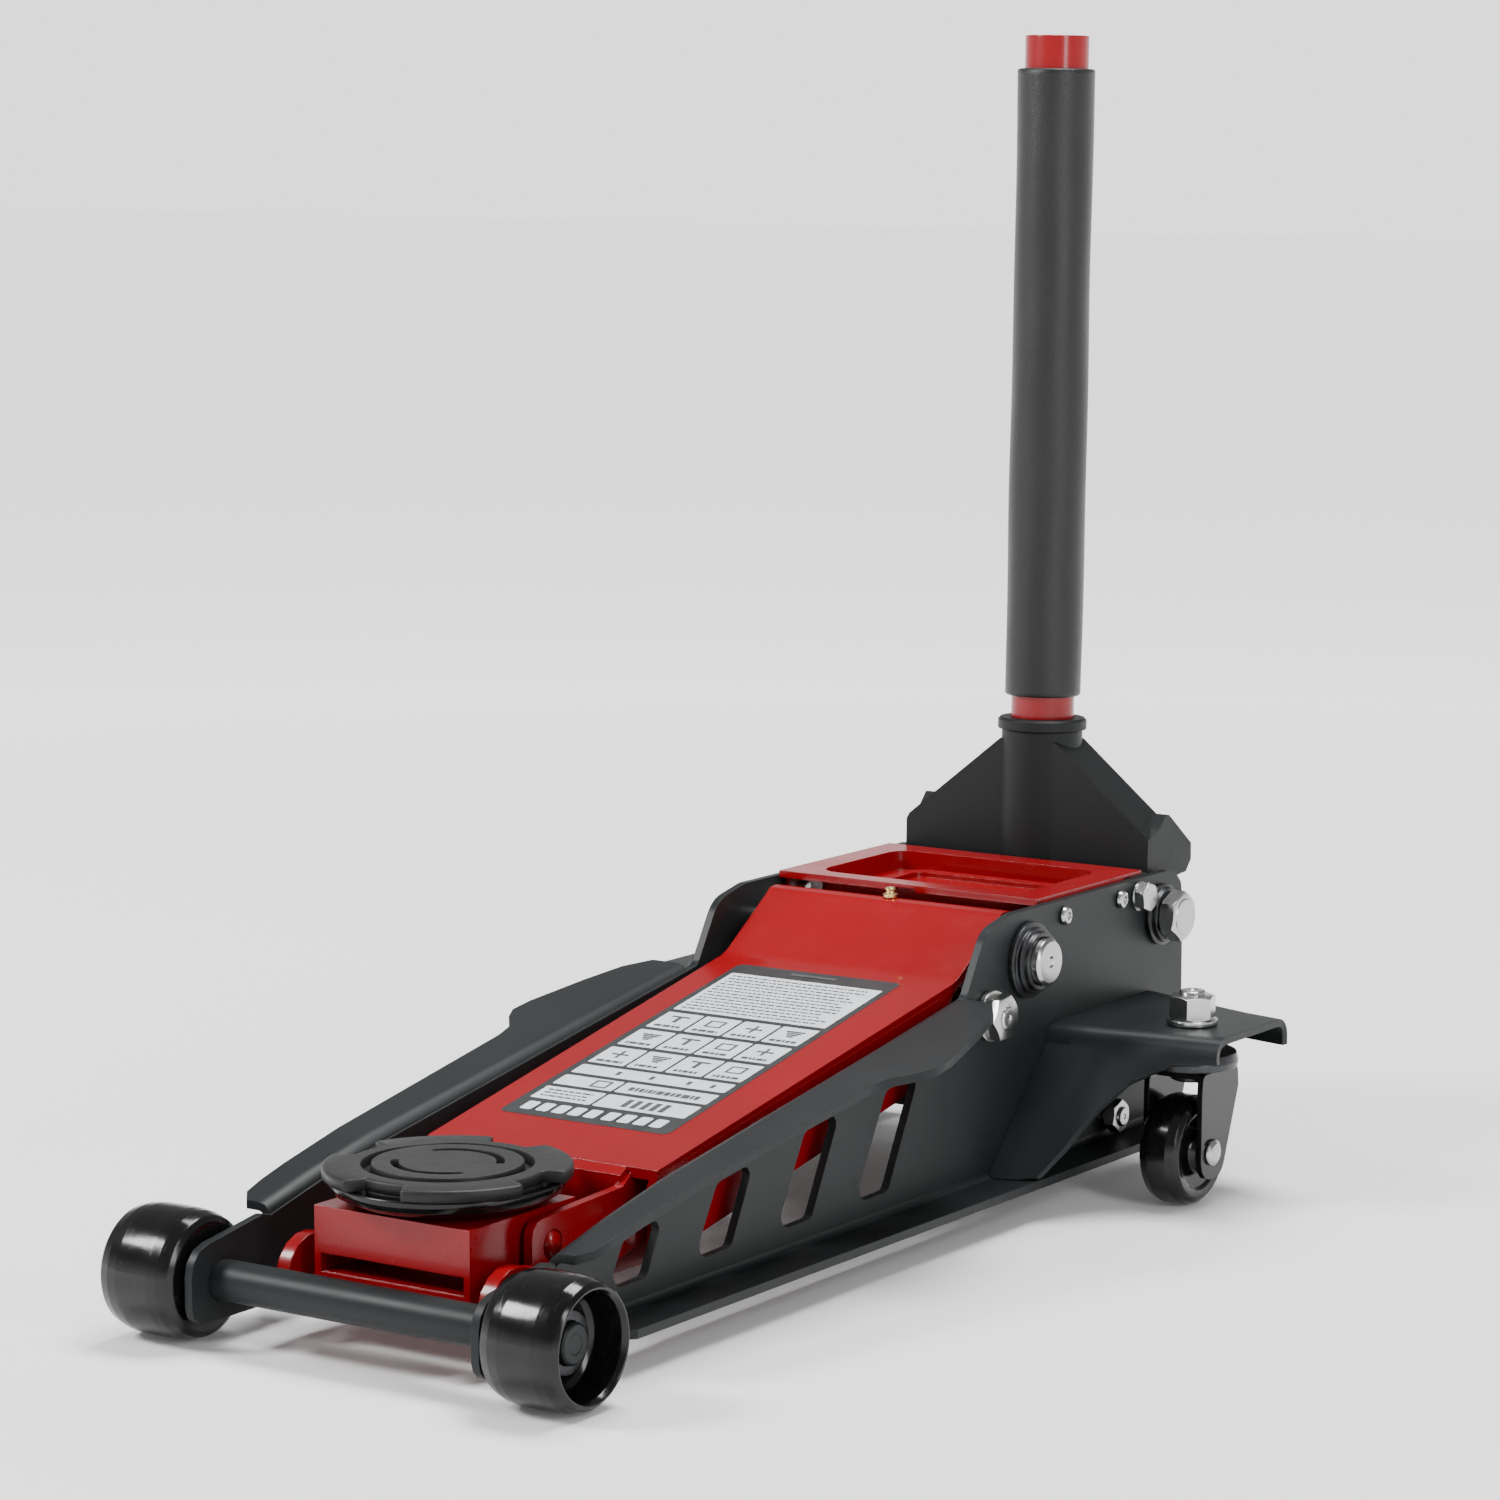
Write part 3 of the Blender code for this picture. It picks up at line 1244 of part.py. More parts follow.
def handle_yoke():
    """Cast yoke: socket tube with a collar, wide triangular web, side ribs and pivot cheeks."""
    px = back(YOKE_PIVOT[0])
    pz = YOKE_PIVOT[1]
    face = px + 0.0010
    socket = (px - HANDLE_OFFSET, 0.0, pz)
    up = (0.0, 0.0, 1.0)
    half = 0.0870
    web_outline_yz = [
        (-half, pz + 0.0160),
        (half, pz + 0.0160),
        (half, pz + 0.0430),
        (half - 0.0020, pz + 0.0465),
        (0.0195, pz + 0.0990),
        (-0.0195, pz + 0.0990),
        (-half + 0.0020, pz + 0.0465),
        (-half, pz + 0.0430),
    ]
    web = prism(web_outline_yz, face - 0.0070, face, "YZ")
    slope = half - 0.0215
    drop = 0.0525
    length = math.hypot(slope, drop)
    inward = (drop / length * 0.0070, slope / length * 0.0070)
    ribs = []
    for side in (-1.0, 1.0):
        rib = [
            (side * (half - 0.0001), pz + 0.0430),
            (side * (half - 0.0021), pz + 0.0464),
            (side * 0.0196, pz + 0.0989),
            (side * (0.0196 - inward[0]), pz + 0.0989 - inward[1]),
            (side * (half - 0.0080), pz + 0.0464 - inward[1]),
            (side * (half - 0.0080), pz + 0.0300),
            (side * (half - 0.0001), pz + 0.0300),
        ]
        ribs.append(prism(rib, face - 0.0350, face - 0.0010, "YZ"))
    cheek = arc((px, pz), 0.0185, -150.0, 10.0, 10)
    cheek += [
        (face - 0.0005, pz + 0.0250),
        (face - 0.0005, pz + 0.0440),
        (px - 0.0140, pz + 0.0500),
        (px - 0.0210, pz + 0.0580),
        (px - 0.0250, pz + 0.0575),
        (px - 0.0536, pz + 0.0372),
        (px - 0.0539, pz + 0.0271),
        (px - 0.0480, pz + 0.0200),
        (px - 0.0340, pz + 0.0185),
        (px - 0.0220, pz + 0.0060),
    ]
    cheeks = []
    for side in (-1.0, 1.0):
        low, high = sorted((side * (half - 0.0090), side * (half - 0.0002)))
        cheeks.append(prism(cheek, low, high))
    tube = turned(
        [
            (0.0, 0.0263),
            (0.0250, 0.0263),
            (0.0250, 0.1043),
            (0.0275, 0.1053),
            (0.0275, 0.1108),
            (0.0262, 0.1122),
            (0.0, 0.1122),
        ],
        socket,
        up,
        24,
    )
    lugs = []
    roller = (px - 0.0173, 0.0, pz + 0.0100)
    for side in (-1.0, 1.0):
        low, high = sorted((side * 0.0086, side * 0.0142))
        lug = arc((roller[0], roller[2]), 0.0063, 180.0, 360.0, 5)
        lug += [(roller[0] + 0.0080, pz + 0.0300), (roller[0] - 0.0080, pz + 0.0300)]
        lugs.append(prism(lug, low, high))
    yoke = joined(web, *ribs, *cheeks, tube, *lugs)
    yoke = cut(
        yoke,
        rod(HANDLE_RADIUS + 0.0004, 0.0400, 0.1200, socket, up, 22),
        rod(0.0083, -0.1, 0.1, (px, 0.0, pz), segments=18),
        rod(0.0043, -0.05, 0.05, roller, segments=12),
    )
    pivot = (px, 0.0, pz)
    new_object("handle_yoke", leaned(yoke), "chassis_paint", pivot)
    pin = rod(0.0040, -0.0150, 0.0150, roller, segments=12)
    new_object("yoke_roller_pin", leaned(pin), "zinc", pivot)
    wheel = ring(0.0043, 0.0070, -0.0080, 0.0080, roller, segments=18)
    new_object("yoke_roller", leaned(wheel), "black_steel", pivot)


def handle():
    """Tubular handle, open at its upper end, with a long foam sleeve that guards car panels."""
    px = back(YOKE_PIVOT[0])
    pz = YOKE_PIVOT[1]
    base = (px - HANDLE_OFFSET, 0.0, pz)
    origin = lean_matrix() @ Vector((px - HANDLE_OFFSET, 0.0, pz + HANDLE_FOOT))
    up = (0.0, 0.0, 1.0)
    inner = HANDLE_RADIUS - HANDLE_WALL
    lower = ring(inner, HANDLE_RADIUS, HANDLE_FOOT, HANDLE_END, base, up, 24)
    new_object("handle_tube", leaned(lower), "red_paint", origin)
    sleeve_profile = [
        (HANDLE_RADIUS + GAP, SLEEVE_SPAN[0]),
        (SLEEVE_RADIUS - 0.0010, SLEEVE_SPAN[0]),
        (SLEEVE_RADIUS, SLEEVE_SPAN[0] + 0.0010),
        (SLEEVE_RADIUS, SLEEVE_SPAN[1] - 0.0010),
        (SLEEVE_RADIUS - 0.0010, SLEEVE_SPAN[1]),
        (HANDLE_RADIUS + GAP, SLEEVE_SPAN[1]),
    ]
    sleeve = turned(sleeve_profile, base, up, 24, closed=True)
    new_object("foam_sleeve", leaned(sleeve), "foam", origin)


def build():
    clear_scene()
    side_plates()
    front_axle()
    front_wheels()
    arm_pivot_shaft()
    link_pivot_bolts()
    yoke_pivot_bolts()
    stay_bolts()
    unit_bolt()
    tray_cover()
    caster_brackets()
    casters()
    lift_arm()
    arm_fittings()
    saddle_bracket()
    saddle()
    torque_links()
    hydraulic_unit()
    release_valve()
    plunger_and_spring()
    handle_yoke()
    handle()


build()
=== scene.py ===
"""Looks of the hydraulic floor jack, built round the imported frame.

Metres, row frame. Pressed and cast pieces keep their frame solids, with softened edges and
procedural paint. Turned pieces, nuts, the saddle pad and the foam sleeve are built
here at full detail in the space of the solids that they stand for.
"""

import json
import math
import random

import bmesh
import bpy
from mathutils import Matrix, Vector


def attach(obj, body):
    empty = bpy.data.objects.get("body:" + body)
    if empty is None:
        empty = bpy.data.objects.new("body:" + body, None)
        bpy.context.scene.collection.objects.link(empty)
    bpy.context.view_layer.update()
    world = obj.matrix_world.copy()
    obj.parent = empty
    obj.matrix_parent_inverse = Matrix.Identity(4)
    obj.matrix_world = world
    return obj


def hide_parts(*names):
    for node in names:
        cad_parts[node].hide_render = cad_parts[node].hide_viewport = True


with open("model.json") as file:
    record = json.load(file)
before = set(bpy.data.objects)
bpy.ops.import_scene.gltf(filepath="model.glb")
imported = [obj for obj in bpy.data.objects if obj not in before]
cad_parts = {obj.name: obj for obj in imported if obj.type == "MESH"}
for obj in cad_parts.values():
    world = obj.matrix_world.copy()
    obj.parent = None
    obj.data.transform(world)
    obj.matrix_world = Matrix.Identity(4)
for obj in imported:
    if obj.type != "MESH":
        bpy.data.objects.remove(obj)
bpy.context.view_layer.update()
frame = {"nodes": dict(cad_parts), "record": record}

# ---------------------------------------------------------------- places shared with the frame
FRONT_AXLE_X = 0.3388
WHEEL_RADIUS = 0.0350
WEB_OUTER_Y = 0.0960
ARM_PIVOT = (0.5020, 0.1465)          # (distance behind the front axle, height)
LINK_PIVOT = (0.4580, 0.1205)
YOKE_PIVOT = (0.6580, 0.1505)
STAY_BOLT = (0.6310, 0.1655)
UNIT_BOLT = (0.5970, 0.0370)
TRAY_SCREWS = (("front", 0.5433, 0.1665), ("rear", 0.6094, 0.1665))
SADDLE_BEHIND = 0.0750
CASTER_STEM = (0.5700, 0.1680)
CASTER_TRAIL = 0.0100
CASTER_RADIUS = 0.0325
BRACKET_TOP_Z = 0.1050
RACE_TOP_Z = 0.1002
HANDLE_LEAN = math.radians(1.5)
HANDLE_OFFSET = 0.0167
HANDLE_RADIUS = 0.0195
HANDLE_SPAN = (0.0420, 0.5300)        # along the handle, from the yoke pivot's height
SLEEVE_RADIUS = 0.0240
SLEEVE_SPAN = (0.1260, 0.5100)
RAM_Z = 0.0920
PLUNGER_BEHIND = 0.6770
SEAT = 0.0003                         # gap where one piece seats on another
UP = Vector((0.0, 0.0, 1.0))
ACROSS = Vector((0.0, 1.0, 0.0))
ALONG = Vector((1.0, 0.0, 0.0))


def back(distance):
    """X of a point that lies this far behind the front axle."""
    return FRONT_AXLE_X - distance


# ---------------------------------------------------------------- materials
class Shading:
    """A material's node tree, with short calls for the textures that the paints share."""

    def __init__(self, name):
        self.material = bpy.data.materials.new(name)
        self.material.use_nodes = True
        self.tree = self.material.node_tree
        self.shader = self.tree.nodes["Principled BSDF"]
        self.place = self.tree.nodes.new("ShaderNodeTexCoord").outputs["Object"]

    def new(self, kind, **settings):
        node = self.tree.nodes.new(kind)
        for key, value in settings.items():
            setattr(node, key, value)
        return node

    def feed(self, socket, value):
        if isinstance(value, bpy.types.NodeSocket):
            self.tree.links.new(value, socket)
        else:
            socket.default_value = value

    def set(self, **values):
        """Uniform values, on the shader's own sockets."""
        for key, value in values.items():
            self.shader.inputs[key.replace("_", " ")].default_value = value

    def noise(self, scale, detail=3.0, rough=0.55, stretch=(1.0, 1.0, 1.0)):
        mapping = self.new("ShaderNodeMapping")
        self.feed(mapping.inputs["Vector"], self.place)
        mapping.inputs["Scale"].default_value = stretch
        node = self.new("ShaderNodeTexNoise")
        self.feed(node.inputs["Vector"], mapping.outputs["Vector"])
        node.inputs["Scale"].default_value = scale
        node.inputs["Detail"].default_value = detail
        node.inputs["Roughness"].default_value = rough
        return node.outputs["Fac"]

    def cells(self, scale, feature="F1"):
        node = self.new("ShaderNodeTexVoronoi", feature=feature)
        self.feed(node.inputs["Vector"], self.place)
        node.inputs["Scale"].default_value = scale
        return node.outputs["Distance"]

    def span(self, value, low, high, to_low=0.0, to_high=1.0):
        """Takes low..high of a value to to_low..to_high, clamped."""
        node = self.new("ShaderNodeMapRange")
        self.feed(node.inputs["Value"], value)
        node.inputs["From Min"].default_value = low
        node.inputs["From Max"].default_value = high
        node.inputs["To Min"].default_value = to_low
        node.inputs["To Max"].default_value = to_high
        return node.outputs["Result"]

    def math(self, operation, first, second=0.0):
        node = self.new("ShaderNodeMath", operation=operation)
        self.feed(node.inputs[0], first)
        self.feed(node.inputs[1], second)
        return node.outputs["Value"]

    def blend(self, factor, first, second):
        node = self.new("ShaderNodeMix", data_type="RGBA")
        self.feed(node.inputs["Factor"], factor)
        for socket, value in ((node.inputs[6], first), (node.inputs[7], second)):
            if isinstance(value, bpy.types.NodeSocket):
                self.tree.links.new(value, socket)
            else:
                socket.default_value = (*value, 1.0)
        return node.outputs[2]

    def edges(self, radius):
        """1 along convex and concave edges, 0 on open faces."""
        soft = self.new("ShaderNodeBevel", samples=6)
        soft.inputs["Radius"].default_value = radius
        shape = self.new("ShaderNodeNewGeometry")
        dot = self.new("ShaderNodeVectorMath", operation="DOT_PRODUCT")
        self.feed(dot.inputs[0], soft.outputs["Normal"])
        self.feed(dot.inputs[1], shape.outputs["Normal"])
        return self.span(dot.outputs["Value"], 0.93, 0.74)

    def relief(self, *layers, edge_radius=0.0006):
        """Bump from (height, distance in metres, strength) layers, over softened edges."""
        soft = self.new("ShaderNodeBevel", samples=4)
        soft.inputs["Radius"].default_value = edge_radius
        normal = soft.outputs["Normal"]
        for height, distance, strength in layers:
            bump = self.new("ShaderNodeBump")
            bump.inputs["Strength"].default_value = strength
            bump.inputs["Distance"].default_value = distance
            self.feed(bump.inputs["Height"], height)
            self.feed(bump.inputs["Normal"], normal)
            normal = bump.outputs["Normal"]
        self.feed(self.shader.inputs["Normal"], normal)

    def finish(self, colour, roughness):
        self.feed(self.shader.inputs["Base Color"], colour)
        self.feed(self.shader.inputs["Roughness"], roughness)
        return self.material


# ---------------------------------------------------------------- materials
def powder_coat(name, dark, light, grain, rough):
    """Satin powder coat: slow drift in tone, fine orange peel, faint rub along the edges."""
    s = Shading(name)
    drift = s.noise(9.0, 4.0, 0.6)
    speckle = s.noise(1400.0, 2.0, 0.6)
    colour = s.blend(s.span(drift, 0.3, 0.7), dark, light)
    colour = s.blend(s.span(speckle, 0.62, 0.80, 0.0, 0.25), colour, tuple(1.8 * c for c in light))
    worn = s.math("MULTIPLY", s.edges(0.0010), s.span(s.noise(160.0, 3.0), 0.46, 0.68, 0.0, 0.40))
    colour = s.blend(worn, colour, (0.045, 0.048, 0.049))
    s.set(Metallic=0.0, Specular_IOR_Level=0.20)
    s.relief((s.noise(grain, 2.0, 0.5), 0.00010, 0.22), (speckle, 0.00003, 0.20))
    return s.finish(colour, s.span(drift, 0.3, 0.7, rough - 0.04, rough + 0.05))


def gloss_red():
    """Sprayed gloss red with a clear skin, slow orange peel and darker pooling."""
    s = Shading("gloss_red_paint")
    drift = s.noise(7.0, 3.0, 0.55)
    colour = s.blend(s.span(drift, 0.3, 0.7), (0.200, 0.0010, 0.0034), (0.240, 0.0015, 0.0048))
    dust = s.span(s.noise(900.0, 2.0, 0.7), 0.72, 0.84, 0.0, 0.06)
    colour = s.blend(dust, colour, (0.30, 0.03, 0.03))
    s.set(Metallic=0.0, Specular_IOR_Level=0.26, Coat_Weight=0.14, Coat_Roughness=0.05)
    s.relief((s.noise(420.0, 1.0, 0.5), 0.00004, 0.05), (s.noise(40.0, 1.0, 0.4), 0.0003, 0.03))
    return s.finish(colour, s.span(s.noise(35.0, 4.0), 0.3, 0.7, 0.20, 0.30))


def zinc_plate():
    """Bright zinc: clouded, faintly yellow and blue, with fine turning marks."""
    s = Shading("zinc_plate")
    cloud = s.noise(85.0, 4.0, 0.60)
    fine = s.noise(2400.0, 2.0, 0.7)
    colour = s.blend(s.span(cloud, 0.30, 0.70), (0.40, 0.41, 0.395), (0.47, 0.482, 0.47))
    colour = s.blend(s.span(s.noise(40.0, 2.0), 0.55, 0.75, 0.0, 0.15), colour, (0.47, 0.45, 0.39))
    s.set(Metallic=1.0)
    s.relief((fine, 0.00002, 0.15), edge_radius=0.0003)
    return s.finish(colour, s.span(cloud, 0.3, 0.7, 0.22, 0.27))


def dark_steel():
    s = Shading("dark_steel")
    cloud = s.noise(120.0, 4.0, 0.6)
    colour = s.blend(s.span(cloud, 0.35, 0.65), (0.030, 0.031, 0.033), (0.060, 0.061, 0.064))
    rub = s.math("MULTIPLY", s.edges(0.0006), s.span(s.noise(300.0, 2.0), 0.4, 0.6, 0.1, 0.7))
    colour = s.blend(rub, colour, (0.24, 0.24, 0.24))
    s.set(Metallic=0.85)
    s.relief((s.noise(1500.0, 2.0), 0.00004, 0.25), edge_radius=0.0003)
    return s.finish(colour, s.span(cloud, 0.3, 0.7, 0.28, 0.42))


def brass_metal():
    s = Shading("turned_brass")
    cloud = s.noise(220.0, 4.0, 0.6)
    colour = s.blend(s.span(cloud, 0.35, 0.65), (0.62, 0.42, 0.16), (0.80, 0.60, 0.28))
    s.set(Metallic=1.0)
    s.relief((s.noise(2600.0, 2.0), 0.00003, 0.25), edge_radius=0.0002)
    return s.finish(colour, s.span(cloud, 0.3, 0.7, 0.20, 0.34))


def gloss_black(name, scuffed):
    """Thick gloss black; on the wheels the dip coat is uneven and scuffed where it rolls."""
    s = Shading(name)
    drift = s.noise(30.0, 4.0, 0.6)
    colour = s.blend(s.span(drift, 0.3, 0.7), (0.0028, 0.0028, 0.0030), (0.0050, 0.0050, 0.0053))
    dust = s.span(s.noise(700.0, 3.0, 0.75), 0.68, 0.80, 0.0, 0.35)
    colour = s.blend(dust, colour, (0.030, 0.030, 0.031))
    rough = s.span(drift, 0.3, 0.7, 0.13, 0.21)
    waves = s.noise(48.0, 3.0, 0.55)
    if scuffed:
        marks = s.span(s.noise(120.0, 6.0, 0.75, (1.0, 2.6, 1.0)), 0.57, 0.70)
        colour = s.blend(s.math("MULTIPLY", marks, 0.22), colour, (0.026, 0.024, 0.021))
        rough = s.math("ADD", rough, s.math("MULTIPLY", marks, 0.16))
        s.relief((waves, 0.0009, 0.20), (marks, 0.00006, 0.25))
    else:
        s.relief((waves, 0.0006, 0.10), (s.noise(400.0, 2.0), 0.00004, 0.10))
    s.set(Metallic=0.0, Specular_IOR_Level=0.30, Coat_Weight=0.06, Coat_Roughness=0.05)
    return s.finish(colour, rough)


def moulded_rubber():
    s = Shading("moulded_rubber")
    bloom = s.noise(55.0, 5.0, 0.65)
    colour = s.blend(s.span(bloom, 0.3, 0.7), (0.0080, 0.0083, 0.0087), (0.0122, 0.0126, 0.0131))
    dust = s.span(s.noise(850.0, 3.0, 0.7), 0.60, 0.75, 0.0, 0.5)
    colour = s.blend(dust, colour, (0.030, 0.030, 0.030))
    s.set(Metallic=0.0, Specular_IOR_Level=0.28)
    s.relief((s.noise(1300.0, 3.0, 0.6), 0.00010, 0.35), (s.noise(120.0, 2.0), 0.0002, 0.15))
    return s.finish(colour, s.span(bloom, 0.3, 0.7, 0.40, 0.54))


def closed_cell_foam():
    """Skinned foam tube: fine open pores, slow dents and a soft velvety sheen."""
    s = Shading("closed_cell_foam")
    pores = s.cells(1500.0)
    drift = s.noise(18.0, 4.0, 0.6)
    colour = s.blend(s.span(drift, 0.3, 0.7), (0.0060, 0.0064, 0.0068), (0.0096, 0.0100, 0.0105))
    # painted shade: the middles of the pores are darkened, as if in shadow
    colour = s.blend(s.span(pores, 0.10, 0.45, 0.6, 0.0), colour, (0.004, 0.004, 0.0045))
    s.set(Metallic=0.0, Specular_IOR_Level=0.34, Sheen_Weight=0.05, Sheen_Roughness=0.40)
    s.relief(
        (s.noise(28.0, 3.0, 0.5), 0.0010, 0.22),
        (pores, 0.00022, 0.45),
        (s.noise(900.0, 3.0, 0.7), 0.00012, 0.30),
    )
    return s.finish(colour, s.span(drift, 0.3, 0.7, 0.36, 0.46))


def spring_wire():
    s = Shading("spring_wire")
    cloud = s.noise(300.0, 3.0, 0.6)
    colour = s.blend(s.span(cloud, 0.35, 0.65), (0.30, 0.30, 0.29), (0.46, 0.46, 0.45))
    s.set(Metallic=1.0)
    s.relief((s.noise(2200.0, 2.0), 0.00003, 0.3), edge_radius=0.0002)
    return s.finish(colour, s.span(cloud, 0.3, 0.7, 0.28, 0.42))


def printed(name, dark, light, rough):
    """Screen-printed film on the arm: faint mottling and a few fine scratches."""
    s = Shading(name)
    mottle = s.noise(90.0, 4.0, 0.6)
    colour = s.blend(s.span(mottle, 0.3, 0.7), dark, light)
    scratch = s.span(s.noise(260.0, 2.0, 0.5, (0.15, 3.0, 1.0)), 0.70, 0.76, 0.0, 0.3)
    colour = s.blend(scratch, colour, tuple(0.7 * c for c in dark))
    s.set(Metallic=0.0)
    s.relief((s.noise(500.0, 2.0), 0.00004, 0.2), edge_radius=0.0001)
    return s.finish(colour, s.span(mottle, 0.3, 0.7, rough - 0.05, rough + 0.05))


FINISH = {
    "chassis_paint": powder_coat(
        "satin_powder_coat", (0.0088, 0.0104, 0.0112), (0.0118, 0.0139, 0.0149), 420.0, 0.42
    ),
    "red_paint": gloss_red(),
    "zinc": zinc_plate(),
    "brass": brass_metal(),
    "black_steel": dark_steel(),
    "gloss_black": gloss_black("gloss_black_paint", False),
    "wheel_black": gloss_black("dipped_wheel_black", True),
    "rubber": moulded_rubber(),
    "foam": closed_cell_foam(),
    "spring_steel": spring_wire(),
}
CAST_COAT = powder_coat("cast_powder_coat", (0.0058, 0.0067, 0.0072), (0.0082, 0.0094, 0.0100), 230.0, 0.48)
LABEL_FILM = printed("label_film", (0.015, 0.016, 0.0175), (0.020, 0.0212, 0.0225), 0.42)
LABEL_PANEL = printed("label_panel", (0.56, 0.585, 0.61), (0.64, 0.665, 0.69), 0.45)
LABEL_INK = printed("label_ink", (0.040, 0.042, 0.045), (0.055, 0.057, 0.060), 0.50)


# ---------------------------------------------------------------- mesh helpers
def piece(name, bm, body, slot, stands_for=(), bevel=0.0, smooth_from=34.0):
    """A finished mesh in row-frame coordinates becomes a piece that rides on a body."""
    bmesh.ops.recalc_face_normals(bm, faces=bm.faces)
    mesh = bpy.data.meshes.new(name)
    bm.to_mesh(mesh)
    bm.free()
    mesh.shade_smooth()
    mesh.set_sharp_from_angle(angle=math.radians(smooth_from))
    mesh.materials.append(FINISH[slot])
    made = bpy.data.objects.new(name, mesh)
    bpy.context.scene.collection.objects.link(made)
    if bevel > 0.0:
        soften_edges(made, bevel, 2)
    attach(made, body)
    if stands_for:
        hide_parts(*stands_for)
    return made


def soften_edges(made, width, segments):
    """Rounds every real edge of a solid and shades its flat faces flat."""
    bevel = made.modifiers.new("edges", "BEVEL")
    bevel.width = width
    bevel.segments = segments
    bevel.limit_method = "ANGLE"
    bevel.angle_limit = math.radians(40.0)
    bevel.use_clamp_overlap = True
    bevel.harden_normals = False
    shade = made.modifiers.new("shading", "WEIGHTED_NORMAL")
    shade.keep_sharp = True


def filleted(profile, radius, closed, steps=4):
    """Rounds the corners of a turned profile, by no more than its short sides allow."""
    out = []
    count = len(profile)
    for i, corner in enumerate(profile):
        here = Vector(corner)
        if not closed and i in (0, count - 1):
            out.append(here)
            continue
        before = Vector(profile[i - 1]) - here
        after = Vector(profile[(i + 1) % count]) - here
        turn = before.angle(after)
        if turn > math.radians(176.0):
            out.append(here)
            continue
        reach = min(radius / math.tan(turn / 2.0), 0.45 * before.length, 0.45 * after.length)
        start = here + before.normalized() * reach
        end = here + after.normalized() * reach
        for k in range(steps + 1):
            t = k / steps
            out.append(start * (1 - t) ** 2 + here * (2 * t * (1 - t)) + end * t ** 2)
    return [tuple(p) for p in out]


def axes_of(direction):
    first = direction.orthogonal().normalized()
    return first, direction.cross(first)


def lathe(profile, centre, axis=ACROSS, radius=0.0006, segments=96, closed=False, steps=4):
    """A turned solid from (radius, distance along the axis) corners, with filleted corners."""
    bm = bmesh.new()
    first, second = axes_of(axis)
    rings = []
    for r, along in filleted(profile, radius, closed, steps):
        middle = Vector(centre) + axis * along
        if r < 1e-7:
            rings.append([bm.verts.new(middle)])
            continue
        ring = []
        for i in range(segments):
            angle = 2.0 * math.pi * i / segments
            ring.append(bm.verts.new(middle + (first * math.cos(angle) + second * math.sin(angle)) * r))
        rings.append(ring)
    pairs = list(zip(rings, rings[1:]))
    if closed:
        pairs.append((rings[-1], rings[0]))
    for low, high in pairs:
        for i in range(segments):
            k = (i + 1) % segments
            if len(low) == 1:
                bm.faces.new((low[0], high[k], high[i]))
            elif len(high) == 1:
                bm.faces.new((low[i], low[k], high[0]))
            else:
                bm.faces.new((low[i], low[k], high[k], high[i]))
    return bm


def add(target, other):
    """Moves another bmesh's faces into target."""
    copies = {vert: target.verts.new(vert.co) for vert in other.verts}
    for face in other.faces:
        target.faces.new([copies[vert] for vert in face.verts])
    other.free()
    return target


def disc(radius, low, high):
    """Corners of a plain round disc or bar."""
    return [(0.0, low), (radius, low), (radius, high), (0.0, high)]


def nut(across_flats, start, end, centre, axis=ACROSS, turn=0.0, bore=0.0):
    """A hexagon nut or head whose corners are chamfered by a cone at both ends."""
    bm = bmesh.new()
    first, second = axes_of(axis)
    low, high = sorted((start, end))
    flat = across_flats / 2.0
    land = flat * 0.97
    rings = [[] for _ in range(6)]
    per_side = 8
    for i in range(6 * per_side):
        angle = 2.0 * math.pi * i / (6 * per_side)
        within = (math.degrees(angle) % 60.0) - 30.0
        reach = flat / math.cos(math.radians(within))
        slant = (reach - land) * 0.50
        out = first * math.cos(angle + turn) + second * math.sin(angle + turn)
        spots = (
            (bore, low),
            (land, low),
            (reach, low + slant),
            (reach, high - slant),
            (land, high),
            (bore, high),
        )
        for ring, (r, along) in zip(rings, spots):
            ring.append(bm.verts.new(Vector(centre) + axis * along + out * max(r, 0.0002)))
    count = 6 * per_side
    for low_ring, high_ring in zip(rings, rings[1:]):
        for i in range(count):
            k = (i + 1) % count
            bm.faces.new((low_ring[i], low_ring[k], high_ring[k], high_ring[i]))
    bm.faces.new(rings[0])
    bm.faces.new(rings[-1])
    return bm


def stud(radius, start, end, centre, axis=ACROSS, thread=0.0):
    """A round bar end; with thread set, its last stretch carries rolled thread rings."""
    sign = 1.0 if end > start else -1.0
    profile = [(0.0, start), (radius, start)]
    if thread > 0.0:
        pitch = 0.0011
        turns = int(thread / pitch)
        for i in range(turns):
            here = end - sign * (thread - i * pitch)
            profile.append((radius, here))
            profile.append((radius - 0.00055, here + sign * pitch * 0.5))
    profile.append((radius - 0.0001, end - sign * 0.0009))
    profile.append((radius - 0.0011, end))
    profile.append((radius * 0.30, end))
    profile.append((radius * 0.22, end - sign * 0.0006))
    profile.append((0.0, end - sign * 0.0006))
    return lathe(profile, centre, axis, 0.0003, 64, steps=2)


def for_both_sides(build):
    """Calls build(side name, sign) for the left (+Y) and the right (-Y)."""
    build("left", 1.0)
    build("right", -1.0)


def side_axis(sign):
    return ACROSS * sign


# ---------------------------------------------------------------- frame solids kept as they are
EDGE_WIDTH = {
    "side_plate_left": 0.0009,
    "side_plate_right": 0.0009,
    "tray_cover": 0.0005,
    "lift_arm": 0.0006,
    "saddle_bracket": 0.0008,
    "torque_link_left": 0.0008,
    "torque_link_right": 0.0008,
    "caster_bracket_left": 0.0009,
    "caster_bracket_right": 0.0009,
    "caster_fork_left": 0.0007,
    "caster_fork_right": 0.0007,
    "handle_yoke": 0.0011,
    "pump_block": 0.0010,
}
CAST_NODES = ("handle_yoke", "pump_block", "ram_cylinder", "oil_reservoir")


